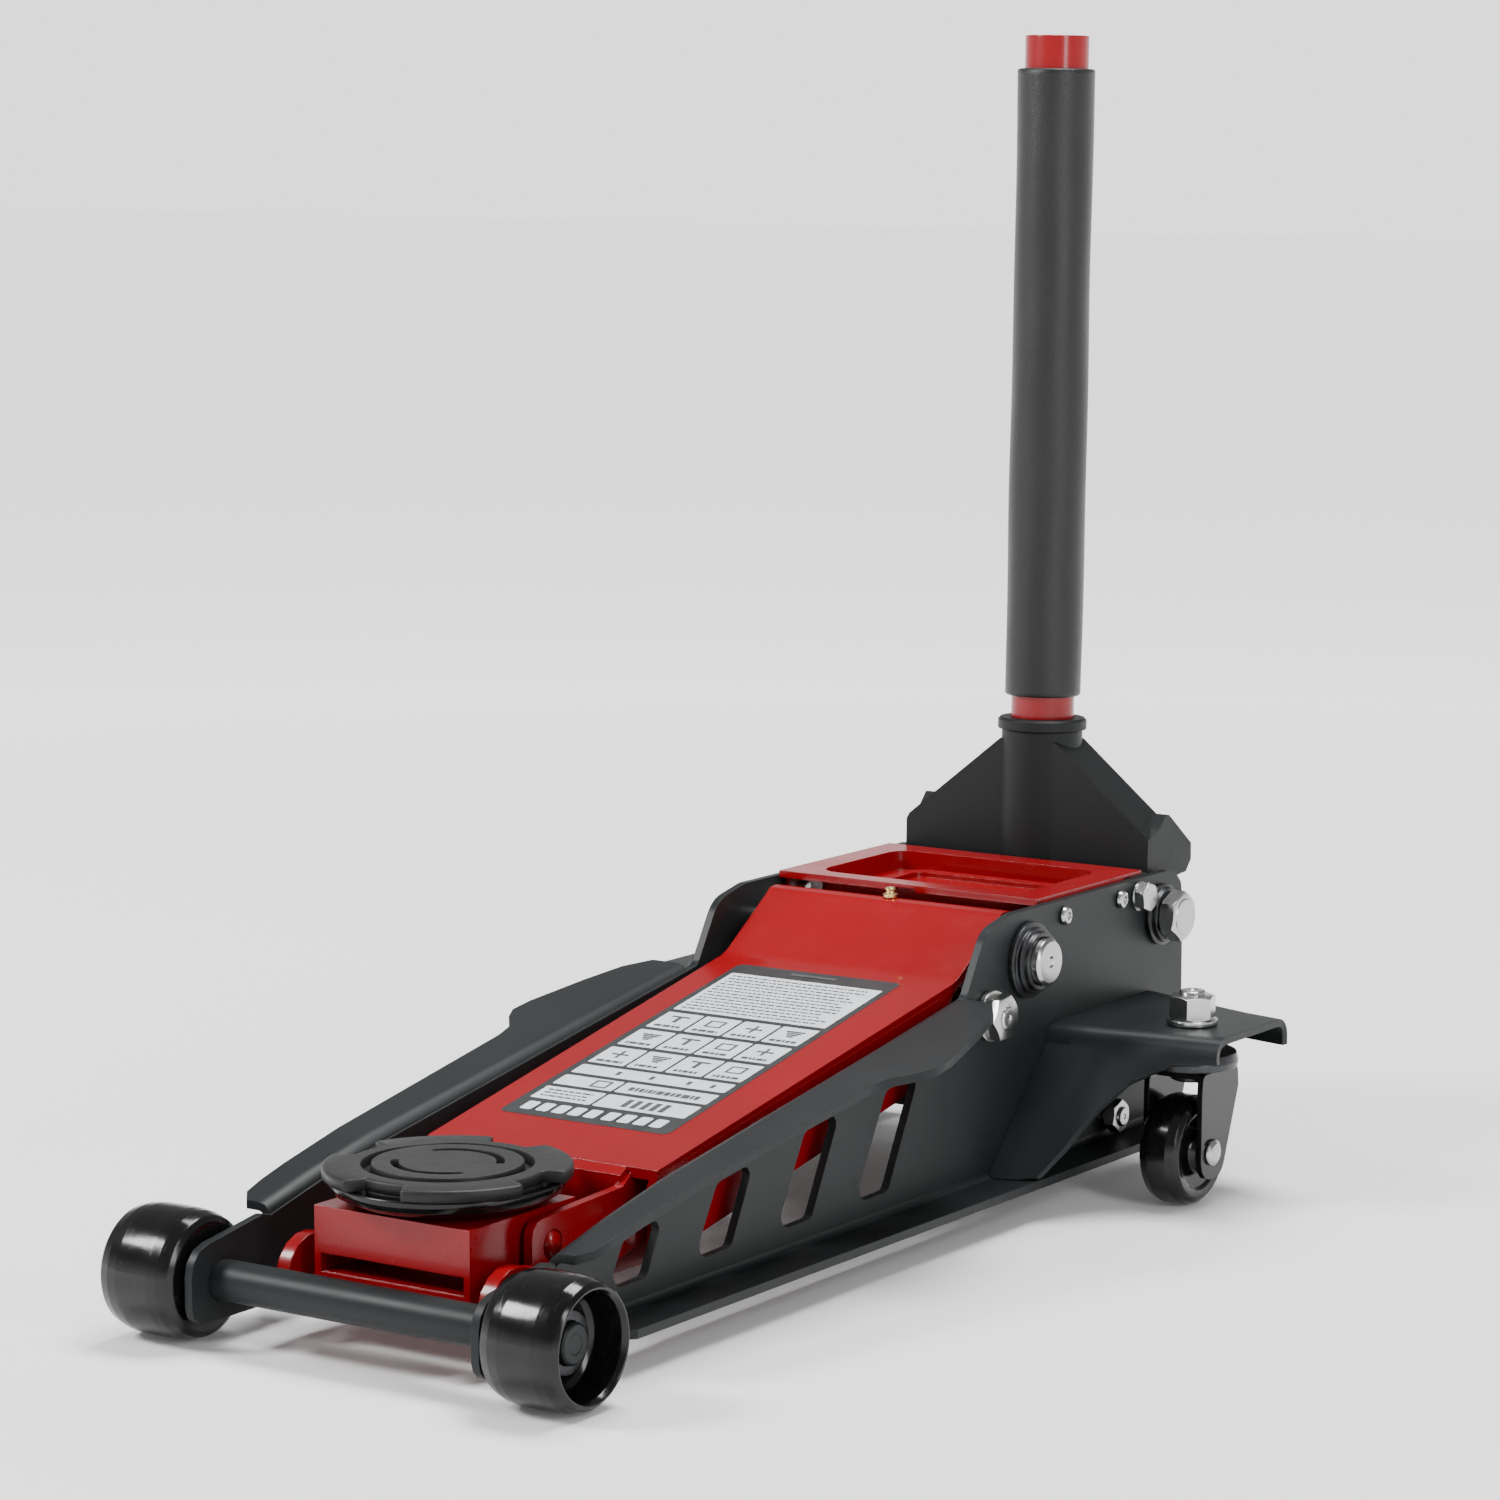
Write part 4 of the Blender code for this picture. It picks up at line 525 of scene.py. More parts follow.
def finish_frame_solids():
    """Gives every frame solid its procedural paint, smooth shading and softened edges."""
    slot_of = {row["node"]: row["material_slot"] for row in frame["record"]["subparts"]}
    for name, node in frame["nodes"].items():
        mesh = node.data
        custom = mesh.attributes.get("custom_normal")
        if custom is not None:
            mesh.attributes.remove(custom)
        mesh.materials[0] = CAST_COAT if name in CAST_NODES else FINISH[slot_of[name]]
        mesh.shade_smooth()
        weld = node.modifiers.new("weld", "WELD")
        weld.merge_threshold = 0.00003
        flatten = node.modifiers.new("flatten", "DECIMATE")
        flatten.decimate_type = "DISSOLVE"
        flatten.angle_limit = math.radians(1.5)
        width = EDGE_WIDTH.get(name)
        if width:
            bevel = node.modifiers.new("edges", "BEVEL")
            bevel.width = width
            bevel.segments = 3
            bevel.limit_method = "ANGLE"
            bevel.angle_limit = math.radians(32.0)
            bevel.use_clamp_overlap = True
        shade = node.modifiers.new("shading", "WEIGHTED_NORMAL")
        shade.keep_sharp = False
        shade.weight = 80


# ---------------------------------------------------------------- front axle and wheels
def front_axle():
    centre = (back(0.0), 0.0, WHEEL_RADIUS)
    half = 0.1380
    profile = [
        (0.0, -half + 0.0004),
        (0.0050, -half + 0.0004),
        (0.0056, -half),
        (0.0098, -half),
        (0.0110, -half + 0.0012),
        (0.0110, half - 0.0012),
        (0.0098, half),
        (0.0056, half),
        (0.0050, half - 0.0004),
        (0.0, half - 0.0004),
    ]
    piece("front_axle_bar", lathe(profile, centre), "chassis", "chassis_paint", ("front_axle",))

    def clip(side, sign):
        rim = [(0.0113, 0.1318), (0.0165, 0.1318), (0.0165, 0.1338), (0.0113, 0.1338)]
        made = lathe(rim, centre, side_axis(sign), 0.0005, closed=True)
        piece("wheel_clip_ring_" + side, made, "chassis", "black_steel", ("wheel_clip_" + side,))

    for_both_sides(clip)


def front_wheels():
    """Cast drums: crowned tread, rolled outer lip, deep recess with a stepped hub."""
    inner, outer = 0.1000, 0.1490
    rim = WHEEL_RADIUS - 0.0022
    profile = [
        (0.0113, inner + 0.0010),
        (0.0160, inner + 0.0010),
        (0.0165, inner),
        (rim - 0.0040, inner),
        (rim - 0.0006, inner + 0.0022),
        (WHEEL_RADIUS - 0.0009, inner + 0.0080),
        (WHEEL_RADIUS - 0.0002, inner + 0.0140),
        (WHEEL_RADIUS, (inner + outer) / 2.0),
        (WHEEL_RADIUS - 0.0002, outer - 0.0140),
        (WHEEL_RADIUS - 0.0009, outer - 0.0080),
        (rim - 0.0004, outer - 0.0022),
        (rim - 0.0026, outer),
        (0.0292, outer),
        (0.0272, outer - 0.0028),
        (0.0264, outer - 0.0190),
        (0.0235, outer - 0.0215),
        (0.0192, outer - 0.0215),
        (0.0184, outer - 0.0182),
        (0.0165, outer - 0.0178),
        (0.0113, outer - 0.0178),
    ]

    def wheel(side, sign):
        made = lathe(profile, (back(0.0), 0.0, WHEEL_RADIUS), side_axis(sign), 0.0022, 160, True, 5)
        piece(
            "front_wheel_drum_" + side, made, "front_wheel_" + side + "_body", "wheel_black",
            ("front_wheel_" + side,),
        )

    for_both_sides(wheel)


# ---------------------------------------------------------------- chassis fasteners
def pivot_fasteners():
    arm = (back(ARM_PIVOT[0]), 0.0, ARM_PIVOT[1])
    link = (back(LINK_PIVOT[0]), 0.0, LINK_PIVOT[1])
    yoke = (back(YOKE_PIVOT[0]), 0.0, YOKE_PIVOT[1])
    reach = 0.1120
    ends = [
        (0.0, -reach + 0.0010),
        (0.0024, -reach + 0.0010),
        (0.0034, -reach),
        (0.0122, -reach),
        (0.0140, -reach + 0.0016),
    ]
    shaft = ends + [(r, -along) for r, along in reversed(ends)]
    piece("arm_pivot_bar", lathe(shaft, arm, radius=0.0008), "chassis", "zinc", ("arm_pivot_shaft",))

    def fasteners(side, sign):
        out = side_axis(sign)
        seat = WEB_OUTER_Y + SEAT
        collar = [
            (0.0143, seat),
            (0.0225, seat),
            (0.0225, WEB_OUTER_Y + 0.0033),
            (0.0196, WEB_OUTER_Y + 0.0038),
            (0.0190, WEB_OUTER_Y + 0.0046),
            (0.0195, WEB_OUTER_Y + 0.0052),
            (0.0195, WEB_OUTER_Y + 0.0070),
            (0.0175, WEB_OUTER_Y + 0.0074),
            (0.0172, WEB_OUTER_Y + 0.0105),
            (0.0143, WEB_OUTER_Y + 0.0105),
        ]
        piece(
            "pivot_collar_stack_" + side, lathe(collar, arm, out, 0.0005, closed=True),
            "chassis", "black_steel", ("pivot_collar_" + side,),
        )
        bolt = nut(0.0240, WEB_OUTER_Y + 0.0042, WEB_OUTER_Y + 0.0132, link, out, 0.87)
        washer = disc(0.0150, seat, WEB_OUTER_Y + 0.0042)
        add(bolt, lathe(washer, link, out, 0.0005))
        add(bolt, stud(0.0070, 0.0625, WEB_OUTER_Y + 0.0145, link, out, 0.0018))
        piece(
            "link_bolt_and_nut_" + side, bolt, "chassis", "zinc", ("link_pivot_bolt_" + side,)
        )
        bolt = nut(0.0270, WEB_OUTER_Y + 0.0070, WEB_OUTER_Y + 0.0172, yoke, out, 0.15)
        add(bolt, lathe(disc(0.0080, 0.0740, 0.1036), yoke, out))
        crown = [
            (0.0, WEB_OUTER_Y + 0.0170),
            (0.0112, WEB_OUTER_Y + 0.0170),
            (0.0105, WEB_OUTER_Y + 0.0178),
            (0.0, WEB_OUTER_Y + 0.0180),
        ]
        add(bolt, lathe(crown, yoke, out, 0.0004))
        piece("yoke_bolt_head_" + side, bolt, "chassis", "zinc", ("yoke_pivot_bolt_" + side,))
        washer = [
            (0.0083, seat),
            (0.0188, seat),
            (0.0188, WEB_OUTER_Y + 0.0030),
            (0.0168, WEB_OUTER_Y + 0.0035),
            (0.0165, WEB_OUTER_Y + 0.0066),
            (0.0083, WEB_OUTER_Y + 0.0066),
        ]
        piece(
            "yoke_washer_stack_" + side, lathe(washer, yoke, out, 0.0005, closed=True),
            "chassis", "black_steel", ("yoke_pivot_washer_" + side,),
        )

    for_both_sides(fasteners)


def small_bolts():
    stay = (back(STAY_BOLT[0]), 0.0, STAY_BOLT[1])
    unit = (back(UNIT_BOLT[0]), 0.0, UNIT_BOLT[1])
    seat = WEB_OUTER_Y + SEAT

    def bolts(side, sign):
        out = side_axis(sign)
        washer = disc(0.0090, seat, WEB_OUTER_Y + 0.0019)
        bolt = nut(0.0160, WEB_OUTER_Y + 0.0018, WEB_OUTER_Y + 0.0088, stay, out, 0.4)
        add(bolt, lathe(washer, stay, out, 0.0004))
        add(bolt, lathe(disc(0.0050, 0.0770, 0.0990), stay, out))
        piece("stay_bolt_head_" + side, bolt, "chassis", "zinc", ("stay_bolt_" + side,), 0.0002)
        for place, distance, height in TRAY_SCREWS:
            spot = (back(distance), 0.0, height)
            profile = [
                (0.0, 0.0850),
                (0.0030, 0.0850),
                (0.0030, seat),
                (0.0056, seat),
                (0.0056, WEB_OUTER_Y + 0.0014),
                (0.0046, WEB_OUTER_Y + 0.0031),
                (0.0024, WEB_OUTER_Y + 0.0038),
                (0.0020, WEB_OUTER_Y + 0.0022),
                (0.0, WEB_OUTER_Y + 0.0020),
            ]
            piece(
                "tray_screw_head_" + place + "_" + side, lathe(profile, spot, out, 0.0005, 64),
                "chassis", "zinc", ("tray_screw_" + place + "_" + side,),
            )

    for_both_sides(bolts)
    both = lathe(disc(0.0060, -0.098, 0.098), unit)
    for sign in (-1.0, 1.0):
        out = side_axis(sign)
        washer = disc(0.0083, seat, WEB_OUTER_Y + 0.0025)
        add(both, lathe(washer, unit, out, 0.0004))
        add(both, nut(0.0180, WEB_OUTER_Y + 0.0024, WEB_OUTER_Y + 0.0098, unit, out, 0.1))
        add(both, stud(0.0060, 0.0970, WEB_OUTER_Y + 0.0118, unit, out, 0.0014))
    piece("unit_bolt_and_nuts", both, "chassis", "zinc", ("unit_mounting_bolt",), 0.0002)


# ---------------------------------------------------------------- casters
def casters():
    race_bottom = RACE_TOP_Z - 0.0195
    fork_outside = 0.0195

    def caster(side, sign):
        stem = Vector((back(CASTER_STEM[0]), sign * CASTER_STEM[1], 0.0))
        hub = stem + Vector((CASTER_TRAIL, 0.0, CASTER_RADIUS))
        top = BRACKET_TOP_Z
        pin = nut(0.0245, top + 0.0036, top + 0.0176, stem, UP, 0.55)
        washer = disc(0.0150, top + SEAT, top + 0.0036)
        add(pin, lathe(washer, stem, UP, 0.0006))
        add(pin, stud(0.0080, 0.0740, top + 0.0205, stem, UP, 0.0028))
        head = [(0.0, 0.0722), (0.0110, 0.0722), (0.0125, 0.0732), (0.0125, 0.0758), (0.0, 0.0758)]
        piece("caster_pin_and_nut_" + side, pin, "chassis", "zinc", ("caster_kingpin_" + side,))
        piece("caster_pin_head_" + side, lathe(head, stem, UP, 0.0006), "chassis", "black_steel")
        race = [
            (0.0083, RACE_TOP_Z - SEAT),
            (0.0190, RACE_TOP_Z - SEAT),
            (0.0198, RACE_TOP_Z - 0.0060),
            (0.0215, RACE_TOP_Z - 0.0082),
            (0.0262, RACE_TOP_Z - 0.0104),
            (0.0275, race_bottom + 0.0040),
            (0.0266, race_bottom),
            (0.0083, race_bottom),
        ]
        piece(
            "caster_race_cup_" + side, lathe(race, stem, UP, 0.0010, closed=True),
            "chassis", "black_steel", ("caster_race_" + side,),
        )
        half = 0.0130
        edge = CASTER_RADIUS - 0.0015
        half_profile = [
            (0.0050, half + 0.0020),
            (0.0105, half + 0.0020),
            (0.0118, half - 0.0010),
            (0.0130, half - 0.0022),
            (0.0215, half - 0.0022),
            (0.0235, half - 0.0006),
            (edge - 0.0030, half),
            (edge - 0.0004, 0.0108),
            (CASTER_RADIUS, 0.0060),
        ]
        wheel = [(r, -along) for r, along in half_profile] + list(reversed(half_profile))
        piece(
            "caster_roller_" + side, lathe(wheel, hub, ACROSS, 0.0010, 144, True),
            "caster_wheel_" + side + "_body", "wheel_black", ("caster_wheel_" + side,),
        )
        profile = [
            (0.0, -fork_outside - 0.0034),
            (0.0052, -fork_outside - 0.0034),
            (0.0076, -fork_outside - 0.0020),
            (0.0080, -fork_outside - SEAT),
            (0.0043, -fork_outside - SEAT),
        ]
        profile = profile + [(r, -along) for r, along in reversed(profile)]
        piece(
            "caster_bolt_" + side, lathe(profile, hub, ACROSS, 0.0005, 64),
            "caster_fork_" + side + "_body", "zinc", ("caster_axle_" + side,),
        )

    for_both_sides(caster)


# ---------------------------------------------------------------- saddle
CUP_PROFILE = [
    (0.0, 0.0705),
    (0.0100, 0.0705),
    (0.0100, 0.0753),
    (0.0465, 0.0753),
    (0.0535, 0.0780),
    (0.0605, 0.0815),
    (0.0625, 0.0850),
    (0.0625, 0.0880),
    (0.0600, 0.0880),
    (0.0590, 0.0830),
    (0.0, 0.0830),
]
PAD_BOTTOM = 0.0833
PAD_TOP = 0.0950
DISC_TOP = 0.0956
LOBE_RADIUS = 0.0660
NOTCH_RADIUS = 0.0545
PAD_SEGMENTS = 360
RING_GROOVE = (0.0400, 0.0449)        # inner and outer radius
RING_GROOVE_DEPTH = 0.0052
CURVED_GROOVE = (0.0254, 0.0293)
CURVED_GROOVE_DEPTH = 0.0046
GROOVE_WALL = 0.0007
PAD_GROOVE_TURN = 86.0                # degrees, of the two curved grooves about the pad's axis


def eased(t):
    t = max(0.0, min(1.0, t))
    return t * t * (3.0 - 2.0 * t)


def pad_edge(angle):
    """Outer radius of the pad: four wide lobes, with a notch between two of them on +X."""
    lobe = abs((math.degrees(angle) % 90.0) - 45.0)
    return NOTCH_RADIUS + (LOBE_RADIUS - NOTCH_RADIUS) * (1.0 - eased((lobe - 28.5) / 3.5))


def between(radius, groove):
    """1 inside a groove's inner and outer radius, 0 outside, with a short wall at each."""
    return eased((radius - groove[0]) / GROOVE_WALL) * (1.0 - eased((radius - groove[1]) / GROOVE_WALL))


def pad_height(radius, angle):
    """Height of the pad's face: ring groove, raised disc and two curved grooves in it."""
    raised = 1.0 - eased((radius - RING_GROOVE[0]) / GROOVE_WALL)
    height = PAD_TOP + (DISC_TOP - PAD_TOP) * raised
    height -= RING_GROOVE_DEPTH * between(radius, RING_GROOVE)
    turned_angle = (math.degrees(angle) - PAD_GROOVE_TURN) % 180.0
    along = eased((turned_angle - 27.0) / 4.0) * (1.0 - eased((turned_angle - 145.0) / 4.0))
    return height - CURVED_GROOVE_DEPTH * between(radius, CURVED_GROOVE) * along


def saddle_pad():
    """Moulded rubber pad as a polar grid, so that its grooves have real walls and soft edges."""
    centre = Vector((back(SADDLE_BEHIND), 0.0, 0.0))
    inner_radii = [0.0002, 0.0100, 0.0200, 0.0248]
    for band in ((0.0252, 0.0264), (0.0290, 0.0302), (0.0396, 0.0410), (0.0446, 0.0460)):
        inner_radii += [band[0] + (band[1] - band[0]) * i / 5 for i in range(6)]
    inner_radii += [0.0330, 0.0370, 0.0480, 0.0505, 0.0520]
    inner_radii = sorted(set(round(r, 5) for r in inner_radii))
    bm = bmesh.new()
    rings = []
    angles = [2.0 * math.pi * i / PAD_SEGMENTS for i in range(PAD_SEGMENTS)]

    def ring(spots):
        rings.append([
            bm.verts.new(centre + Vector((r * math.cos(a), r * math.sin(a), z)))
            for a, (r, z) in zip(angles, spots)
        ])

    ring([(0.0002, PAD_BOTTOM) for _ in angles])
    ring([(min(pad_edge(a), 0.0585) - 0.0006, PAD_BOTTOM) for a in angles])
    ring([(min(pad_edge(a), 0.0585), PAD_BOTTOM + 0.0006) for a in angles])
    ring([(min(pad_edge(a), 0.0585), 0.0882) for a in angles])
    ring([(pad_edge(a) - 0.0008, 0.0885) for a in angles])
    ring([(pad_edge(a), 0.0893) for a in angles])
    ring([(pad_edge(a), PAD_TOP - 0.0018) for a in angles])
    ring([(pad_edge(a) - 0.0003, PAD_TOP - 0.0009) for a in angles])
    ring([(pad_edge(a) - 0.0009, PAD_TOP - 0.0003) for a in angles])
    ring([(pad_edge(a) - 0.0018, PAD_TOP) for a in angles])
    for r in reversed(inner_radii):
        ring([(r, pad_height(r, a)) for a in angles])
    for low, high in zip(rings, rings[1:]):
        for i in range(PAD_SEGMENTS):
            k = (i + 1) % PAD_SEGMENTS
            bm.faces.new((low[i], low[k], high[k], high[i]))
    bm.faces.new(rings[0])
    bm.faces.new(rings[-1])
    piece("moulded_pad", bm, "saddle_body", "rubber", ("saddle_pad",), smooth_from=50.0)


def saddle():
    base = (back(SADDLE_BEHIND), 0.0, 0.0)
    cup = lathe(CUP_PROFILE, base, UP, 0.0016, 160, steps=5)
    piece("pressed_cup", cup, "saddle_body", "gloss_black", ("saddle_cup",))
    saddle_pad()


# ---------------------------------------------------------------- arm fittings and hydraulic unit
def arm_fittings():
    base = (back(0.5035), 0.0, 0.0)
    profile = [
        (0.0, 0.1690),
        (0.0030, 0.1690),
        (0.0030, 0.1738),
        (0.0044, 0.1738),
        (0.0044, 0.1758),
        (0.0028, 0.1763),
        (0.0024, 0.1776),
        (0.0034, 0.1786),
        (0.0026, 0.1796),
        (0.0010, 0.1798),
        (0.0007, 0.1794),
        (0.0, 0.1794),
    ]
    nipple = lathe(profile, base, UP, 0.0003, 48)
    piece("grease_nipple", nipple, "lift_arm_body", "brass", ("grease_fitting",))


def hydraulic_unit():
    line = (back(0.0), 0.0, RAM_Z)
    tank = [
        (0.0273, -0.6317),
        (0.0370, -0.6317),
        (0.0370, -0.5690),
        (0.0352, -0.5640),
        (0.0273, -0.5640),
    ]
    shell = lathe(tank, line, ALONG, 0.0016, 128, True)
    made = piece("tank_shell", shell, "chassis", "chassis_paint", ("oil_reservoir",))
    made.data.materials[0] = CAST_COAT
    spot = (back(PLUNGER_BEHIND), 0.0, 0.0)
    plunger = [
        (0.0, 0.0960),
        (0.0070, 0.0960),
        (0.0070, 0.1480),
        (0.0120, 0.1482),
        (0.0120, 0.1516),
        (0.0104, 0.1526),
        (0.0, 0.1526),
    ]
    piece("plunger_rod", lathe(plunger, spot, UP, 0.0005, 72), "plunger_body", "zinc", ("pump_plunger",))
    rod = [
        (0.0, -0.6290),
        (0.0130, -0.6290),
        (0.0130, -0.6240),
        (0.0120, -0.6235),
        (0.0120, -0.5455),
        (0.0105, -0.5440),
        (0.0, -0.5440),
    ]
    piece("ram_rod", lathe(rod, line, ALONG, 0.0006, 80), "ram_body", "zinc", ("ram",))


# ---------------------------------------------------------------- handle
def handle():
    pivot = Vector((back(YOKE_PIVOT[0]), 0.0, YOKE_PIVOT[1]))
    lean = Vector((-math.sin(HANDLE_LEAN), 0.0, math.cos(HANDLE_LEAN)))
    offset = Vector((-math.cos(HANDLE_LEAN), 0.0, -math.sin(HANDLE_LEAN))) * HANDLE_OFFSET
    base = pivot + offset
    inner = HANDLE_RADIUS - 0.0022
    low, high = HANDLE_SPAN
    tube = [
        (inner, low),
        (HANDLE_RADIUS, low),
        (HANDLE_RADIUS, high),
        (inner, high),
    ]
    pipe = lathe(tube, base, lean, 0.0007, 128, True)
    piece("handle_red_tube", pipe, "handle_body", "red_paint", ("handle_tube",))
    foam_sleeve(base, lean)


def foam_sleeve(base, lean):
    """Foam tube, cut a little unevenly at its ends and swelling softly along its length."""
    low, high = SLEEVE_SPAN
    rows = 150
    bm = bmesh.new()
    first, second = axes_of(lean)
    segments = 128
    bore = HANDLE_RADIUS + SEAT
    stations = [(bore, low), (SLEEVE_RADIUS - 0.0016, low), (SLEEVE_RADIUS - 0.0006, low + 0.0004)]
    for i in range(rows + 1):
        along = low + 0.0012 + (high - low - 0.0024) * i / rows
        stations.append((SLEEVE_RADIUS, along))
    stations += [(SLEEVE_RADIUS - 0.0006, high - 0.0004), (SLEEVE_RADIUS - 0.0016, high), (bore, high)]
    rings = []
    for r, along in stations:
        ring = []
        for i in range(segments):
            angle = 2.0 * math.pi * i / segments
            swell = 0.00022 * math.sin(angle * 2.0 + along * 21.0)
            swell += 0.00018 * math.sin(angle * 3.0 - along * 47.0)
            reach = r - 0.00045 + swell if r > bore else r
            spot = base + lean * along + (first * math.cos(angle) + second * math.sin(angle)) * reach
            ring.append(bm.verts.new(spot))
        rings.append(ring)
    for near, far in zip(rings, rings[1:] + rings[:1]):
        for i in range(segments):
            k = (i + 1) % segments
            bm.faces.new((near[i], near[k], far[k], far[i]))
    sleeve = piece("foam_grip_sleeve", bm, "handle_body", "foam", ("foam_sleeve",), smooth_from=60.0)


# ---------------------------------------------------------------- label on the arm
LABEL_FRONT = 0.1985                  # behind the front axle
LABEL_REAR = 0.4350
LABEL_HALF = 0.0565
LABEL_SKEW = math.radians(0.6)        # stuck on a little crooked
LABEL_SIDE = -0.0042                  # its middle lies this far to the right of the arm's
FILM_LIFT = 0.00012                   # layers of print, above the arm's top
PANEL_LIFT = 0.00023
INK_LIFT = 0.00034
PANEL_CORNER = 0.0012
ARM_TOP_FRONT = (0.1560, 0.0848)      # (distance behind the front axle, height)
ARM_TOP_REAR = (0.4440, 0.1395)
ARM_SLOPE = (ARM_TOP_REAR[1] - ARM_TOP_FRONT[1]) / (ARM_TOP_REAR[0] - ARM_TOP_FRONT[0])


def label_point(s, t, lift):
    """A point of the label: s from its rear (0) to its front (1), t across it, lift above the arm."""
    middle = (LABEL_FRONT + LABEL_REAR) / 2.0
    run = (s - 0.5) * (LABEL_REAR - LABEL_FRONT)
    across = (t - 0.5) * 2.0 * LABEL_HALF
    distance = middle - run * math.cos(LABEL_SKEW) + across * math.sin(LABEL_SKEW) * 0.95
    y = across * math.cos(LABEL_SKEW) + run * math.sin(LABEL_SKEW) * 0.30 + LABEL_SIDE
    height = ARM_TOP_FRONT[1] + (distance - ARM_TOP_FRONT[0]) * ARM_SLOPE
    normal = Vector((ARM_SLOPE, 0.0, 1.0)).normalized()
    return Vector((back(distance), y, height)) + normal * lift


def patch(bm, layer, s0, s1, t0, t1, lift, corner=0.0):
    """A rounded rectangle of film lying on the label."""
    spots = []
    run = LABEL_REAR - LABEL_FRONT
    width = 2.0 * LABEL_HALF
    rs, rt = corner / run, corner / width
    corners = (
        (s1 - rs, t1 - rt, 0.0),
        (s0 + rs, t1 - rt, 90.0),
        (s0 + rs, t0 + rt, 180.0),
        (s1 - rs, t0 + rt, 270.0),
    )
    steps = 4 if corner > 0.0 else 0
    for cs, ct, start in corners:
        for k in range(steps + 1):
            angle = math.radians(start + 90.0 * k / max(steps, 1))
            spots.append((cs + rs * math.cos(angle), ct + rt * math.sin(angle)))
    face = bm.faces.new([bm.verts.new(label_point(s, t, lift)) for s, t in spots])
    face.material_index = layer
    return face


def ink(bm, s0, s1, t0, t1):
    patch(bm, 2, s0, s1, t0, t1, INK_LIFT)


def panel(bm, s0, s1, t0, t1, corner=PANEL_CORNER):
    patch(bm, 1, s0, s1, t0, t1, PANEL_LIFT, corner)


def text_rows(bm, s0, s1, t0, t1, rows, rng, weight=0.45):
    """Rows of dashes that stand for small print."""
    pitch = (s1 - s0) / rows
    for row in range(rows):
        top = s0 + pitch * (row + 0.28)
        t = t0
        end = t1 - rng.random() * (t1 - t0) * 0.12
        while t < end:
            word = 0.012 + 0.035 * rng.random()
            ink(bm, top, top + pitch * weight, t, min(t + word, end))
            t += word + 0.008


def pictogram(bm, s, t, kind):
    """A small generic sign: a bar and base, a frame, a cross or a wedge."""
    if kind == 0:
        ink(bm, s - 0.020, s - 0.012, t - 0.055, t + 0.055)
        ink(bm, s - 0.012, s + 0.020, t - 0.012, t + 0.012)
    elif kind == 1:
        ink(bm, s - 0.020, s - 0.014, t - 0.050, t + 0.050)
        ink(bm, s + 0.014, s + 0.020, t - 0.050, t + 0.050)
        ink(bm, s - 0.014, s + 0.014, t - 0.050, t - 0.036)
        ink(bm, s - 0.014, s + 0.014, t + 0.036, t + 0.050)
    elif kind == 2:
        ink(bm, s - 0.004, s + 0.004, t - 0.050, t + 0.050)
        ink(bm, s - 0.022, s - 0.005, t - 0.008, t + 0.008)
        ink(bm, s + 0.005, s + 0.022, t - 0.008, t + 0.008)
    else:
        for step in range(4):
            top = s - 0.018 + 0.010 * step
            half = 0.055 - 0.012 * step
            ink(bm, top, top + 0.007, t - half, t + half)


def label():
    """Rating label: dark film with pale panels, generic signs and dashes instead of lettering."""
    rng = random.Random(7)
    bm = bmesh.new()
    patch(bm, 0, 0.0, 1.0, 0.0, 1.0, FILM_LIFT, 0.0045)
    columns = ((0.045, 0.262), (0.278, 0.495), (0.511, 0.728), (0.744, 0.961))
    panel(bm, 0.060, 0.318, 0.040, 0.962)
    text_rows(bm, 0.070, 0.310, 0.070, 0.935, 13, rng, 0.34)
    ink(bm, 0.022, 0.034, 0.360, 0.640)
    for row, top in enumerate((0.336, 0.455, 0.574)):
        for column, (left, right) in enumerate(columns):
            panel(bm, top, top + 0.102, left, right)
            pictogram(bm, top + 0.040, (left + right) / 2.0, (row * 3 + column) % 4)
            text_rows(bm, top + 0.072, top + 0.096, left + 0.03, right - 0.03, 1, rng, 0.5)
    panel(bm, 0.692, 0.744, 0.045, 0.961)
    for spot in (0.30, 0.50, 0.72, 0.86):
        ink(bm, 0.708, 0.728, spot - 0.012, spot + 0.012)
    panel(bm, 0.760, 0.818, 0.045, 0.400)
    panel(bm, 0.760, 0.818, 0.416, 0.961)
    text_rows(bm, 0.772, 0.806, 0.470, 0.900, 1, rng, 0.6)
    pictogram(bm, 0.789, 0.300, 1)
    panel(bm, 0.834, 0.906, 0.045, 0.400)
    panel(bm, 0.834, 0.906, 0.416, 0.961)
    text_rows(bm, 0.844, 0.896, 0.080, 0.360, 3, rng, 0.4)
    for step in range(5):
        ink(bm, 0.848, 0.892, 0.560 + 0.055 * step, 0.592 + 0.055 * step)
    for step in range(9):
        left = 0.080 + 0.094 * step + (0.012 if step > 4 else 0.0)
        panel(bm, 0.926, 0.972, left, left + 0.070, 0.0016)
    made = piece("rating_label", bm, "lift_arm_body", "black_steel", smooth_from=30.0)
    made.data.materials[0] = LABEL_FILM
    made.data.materials.append(LABEL_PANEL)
    made.data.materials.append(LABEL_INK)


# ---------------------------------------------------------------- studio
FLOOR_HALF = 14.0
FLOOR_Z = -0.0003


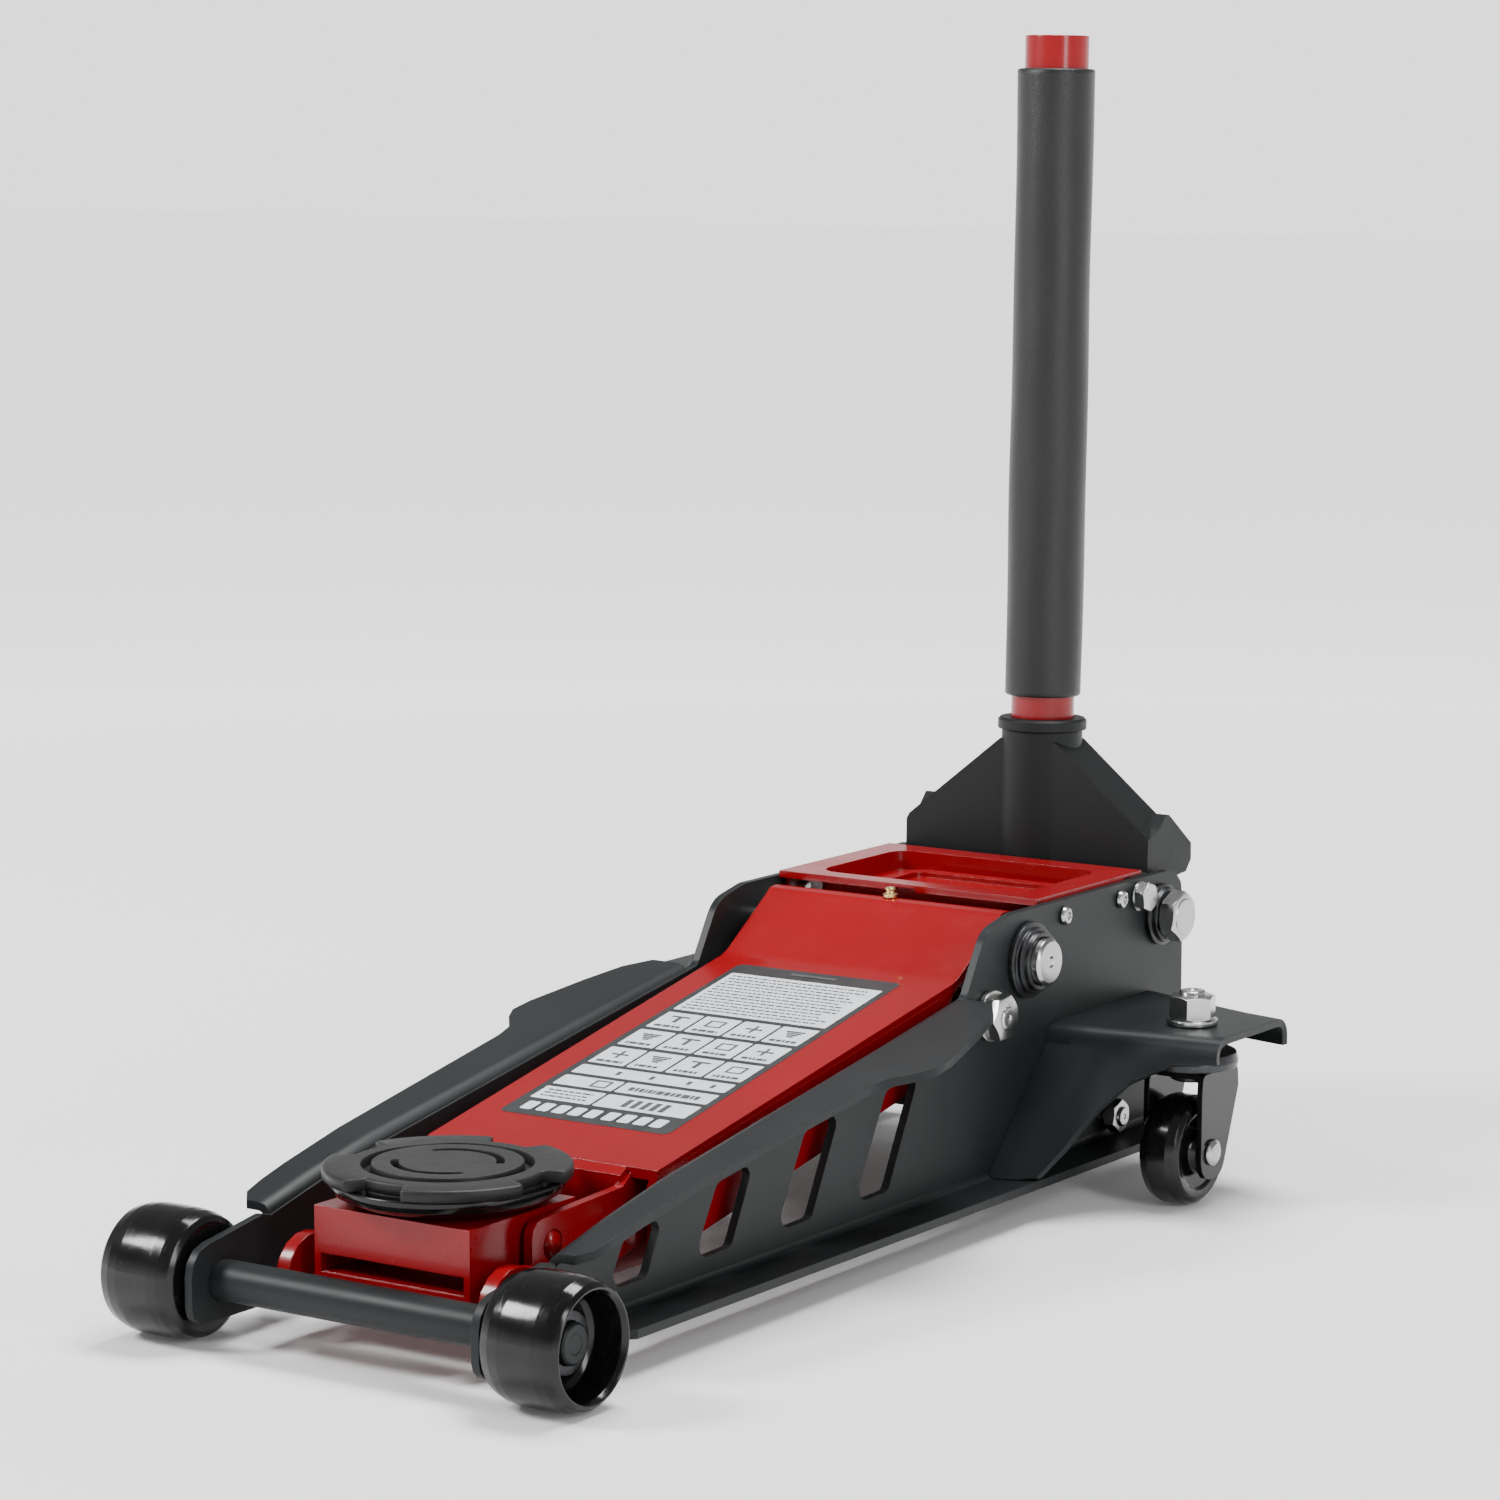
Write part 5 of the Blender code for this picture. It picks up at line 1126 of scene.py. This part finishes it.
def studio():
    """Pale floor that keeps its tone into the distance, pale horizon and three softboxes."""
    floor = bmesh.new()
    for x, y in ((-1.0, -1.0), (1.0, -1.0), (1.0, 1.0), (-1.0, 1.0)):
        floor.verts.new((x * FLOOR_HALF, y * FLOOR_HALF, FLOOR_Z))
    floor.faces.new(list(floor.verts))
    mesh = bpy.data.meshes.new("studio_floor")
    floor.to_mesh(mesh)
    floor.free()
    s = Shading("pale_floor")
    tone = s.noise(1.2, 3.0, 0.5)
    mesh.materials.append(s.finish(s.blend(tone, (0.88, 0.88, 0.88), (0.92, 0.92, 0.92)), 0.75))
    shape = s.new("ShaderNodeVectorMath", operation="LENGTH")
    s.feed(shape.inputs[0], s.place)
    glow = s.span(shape.outputs["Value"], 0.5, 2.4, 0.04, 1.45)
    s.feed(s.shader.inputs["Emission Strength"], glow)
    s.set(Emission_Color=(1.0, 1.0, 1.0, 1.0))
    made = bpy.data.objects.new("studio_floor", mesh)
    bpy.context.scene.collection.objects.link(made)

    world = bpy.data.worlds.new("studio")
    world.use_nodes = True
    tree = world.node_tree
    sky = tree.nodes["Background"]
    place = tree.nodes.new("ShaderNodeTexCoord")
    split = tree.nodes.new("ShaderNodeSeparateXYZ")
    tree.links.new(place.outputs["Generated"], split.inputs["Vector"])
    ramp = tree.nodes.new("ShaderNodeMapRange")
    ramp.inputs["From Min"].default_value = 0.02
    ramp.inputs["From Max"].default_value = 0.30
    ramp.inputs["To Min"].default_value = 1.90
    ramp.inputs["To Max"].default_value = 0.32
    tree.links.new(split.outputs["Z"], ramp.inputs["Value"])
    tree.links.new(ramp.outputs["Result"], sky.inputs["Strength"])
    sky.inputs["Color"].default_value = (1.0, 1.0, 1.0, 1.0)
    bpy.context.scene.world = world

    def softbox(name, spot, target, width, height, power):
        data = bpy.data.lights.new(name, "AREA")
        data.shape = "RECTANGLE"
        data.size = width
        data.size_y = height
        data.energy = power
        lamp = bpy.data.objects.new(name, data)
        lamp.location = spot
        lamp.rotation_euler = (Vector(target) - Vector(spot)).to_track_quat("-Z", "Y").to_euler()
        bpy.context.scene.collection.objects.link(lamp)

    softbox("key", (1.5, -1.5, 1.8), (0.0, 0.0, 0.15), 0.7, 0.7, 75.0)
    softbox("fill", (0.8, 2.2, 1.2), (0.0, 0.0, 0.2), 0.5, 1.4, 26.0)
    softbox("top", (-0.5, 0.1, 2.1), (0.0, 0.0, 0.1), 1.4, 0.8, 75.0)


CAMERA_PLACE = (2.2091, 1.5165, 0.6660)
CAMERA_YAW = math.radians(214.267)
CAMERA_PITCH = math.radians(-8.168)
CAMERA_LENS = 115.6                   # mm, on a 36 mm wide sensor


def camera():
    """Long lens from the front left, a little above the saddle."""
    yaw, pitch = CAMERA_YAW, CAMERA_PITCH
    look = Vector((math.cos(yaw) * math.cos(pitch), math.sin(yaw) * math.cos(pitch), math.sin(pitch)))
    data = bpy.data.cameras.new("photo_view")
    data.sensor_width = 36.0
    data.lens = CAMERA_LENS
    data.clip_start = 0.05
    data.clip_end = 100.0
    made = bpy.data.objects.new("photo_view", data)
    made.location = CAMERA_PLACE
    made.rotation_mode = "QUATERNION"
    made.rotation_quaternion = look.to_track_quat("-Z", "Y")
    bpy.context.scene.collection.objects.link(made)
    bpy.context.scene.camera = made


camera()
studio()
finish_frame_solids()
front_axle()
front_wheels()
pivot_fasteners()
small_bolts()
casters()
saddle()
arm_fittings()
hydraulic_unit()
handle()
label()
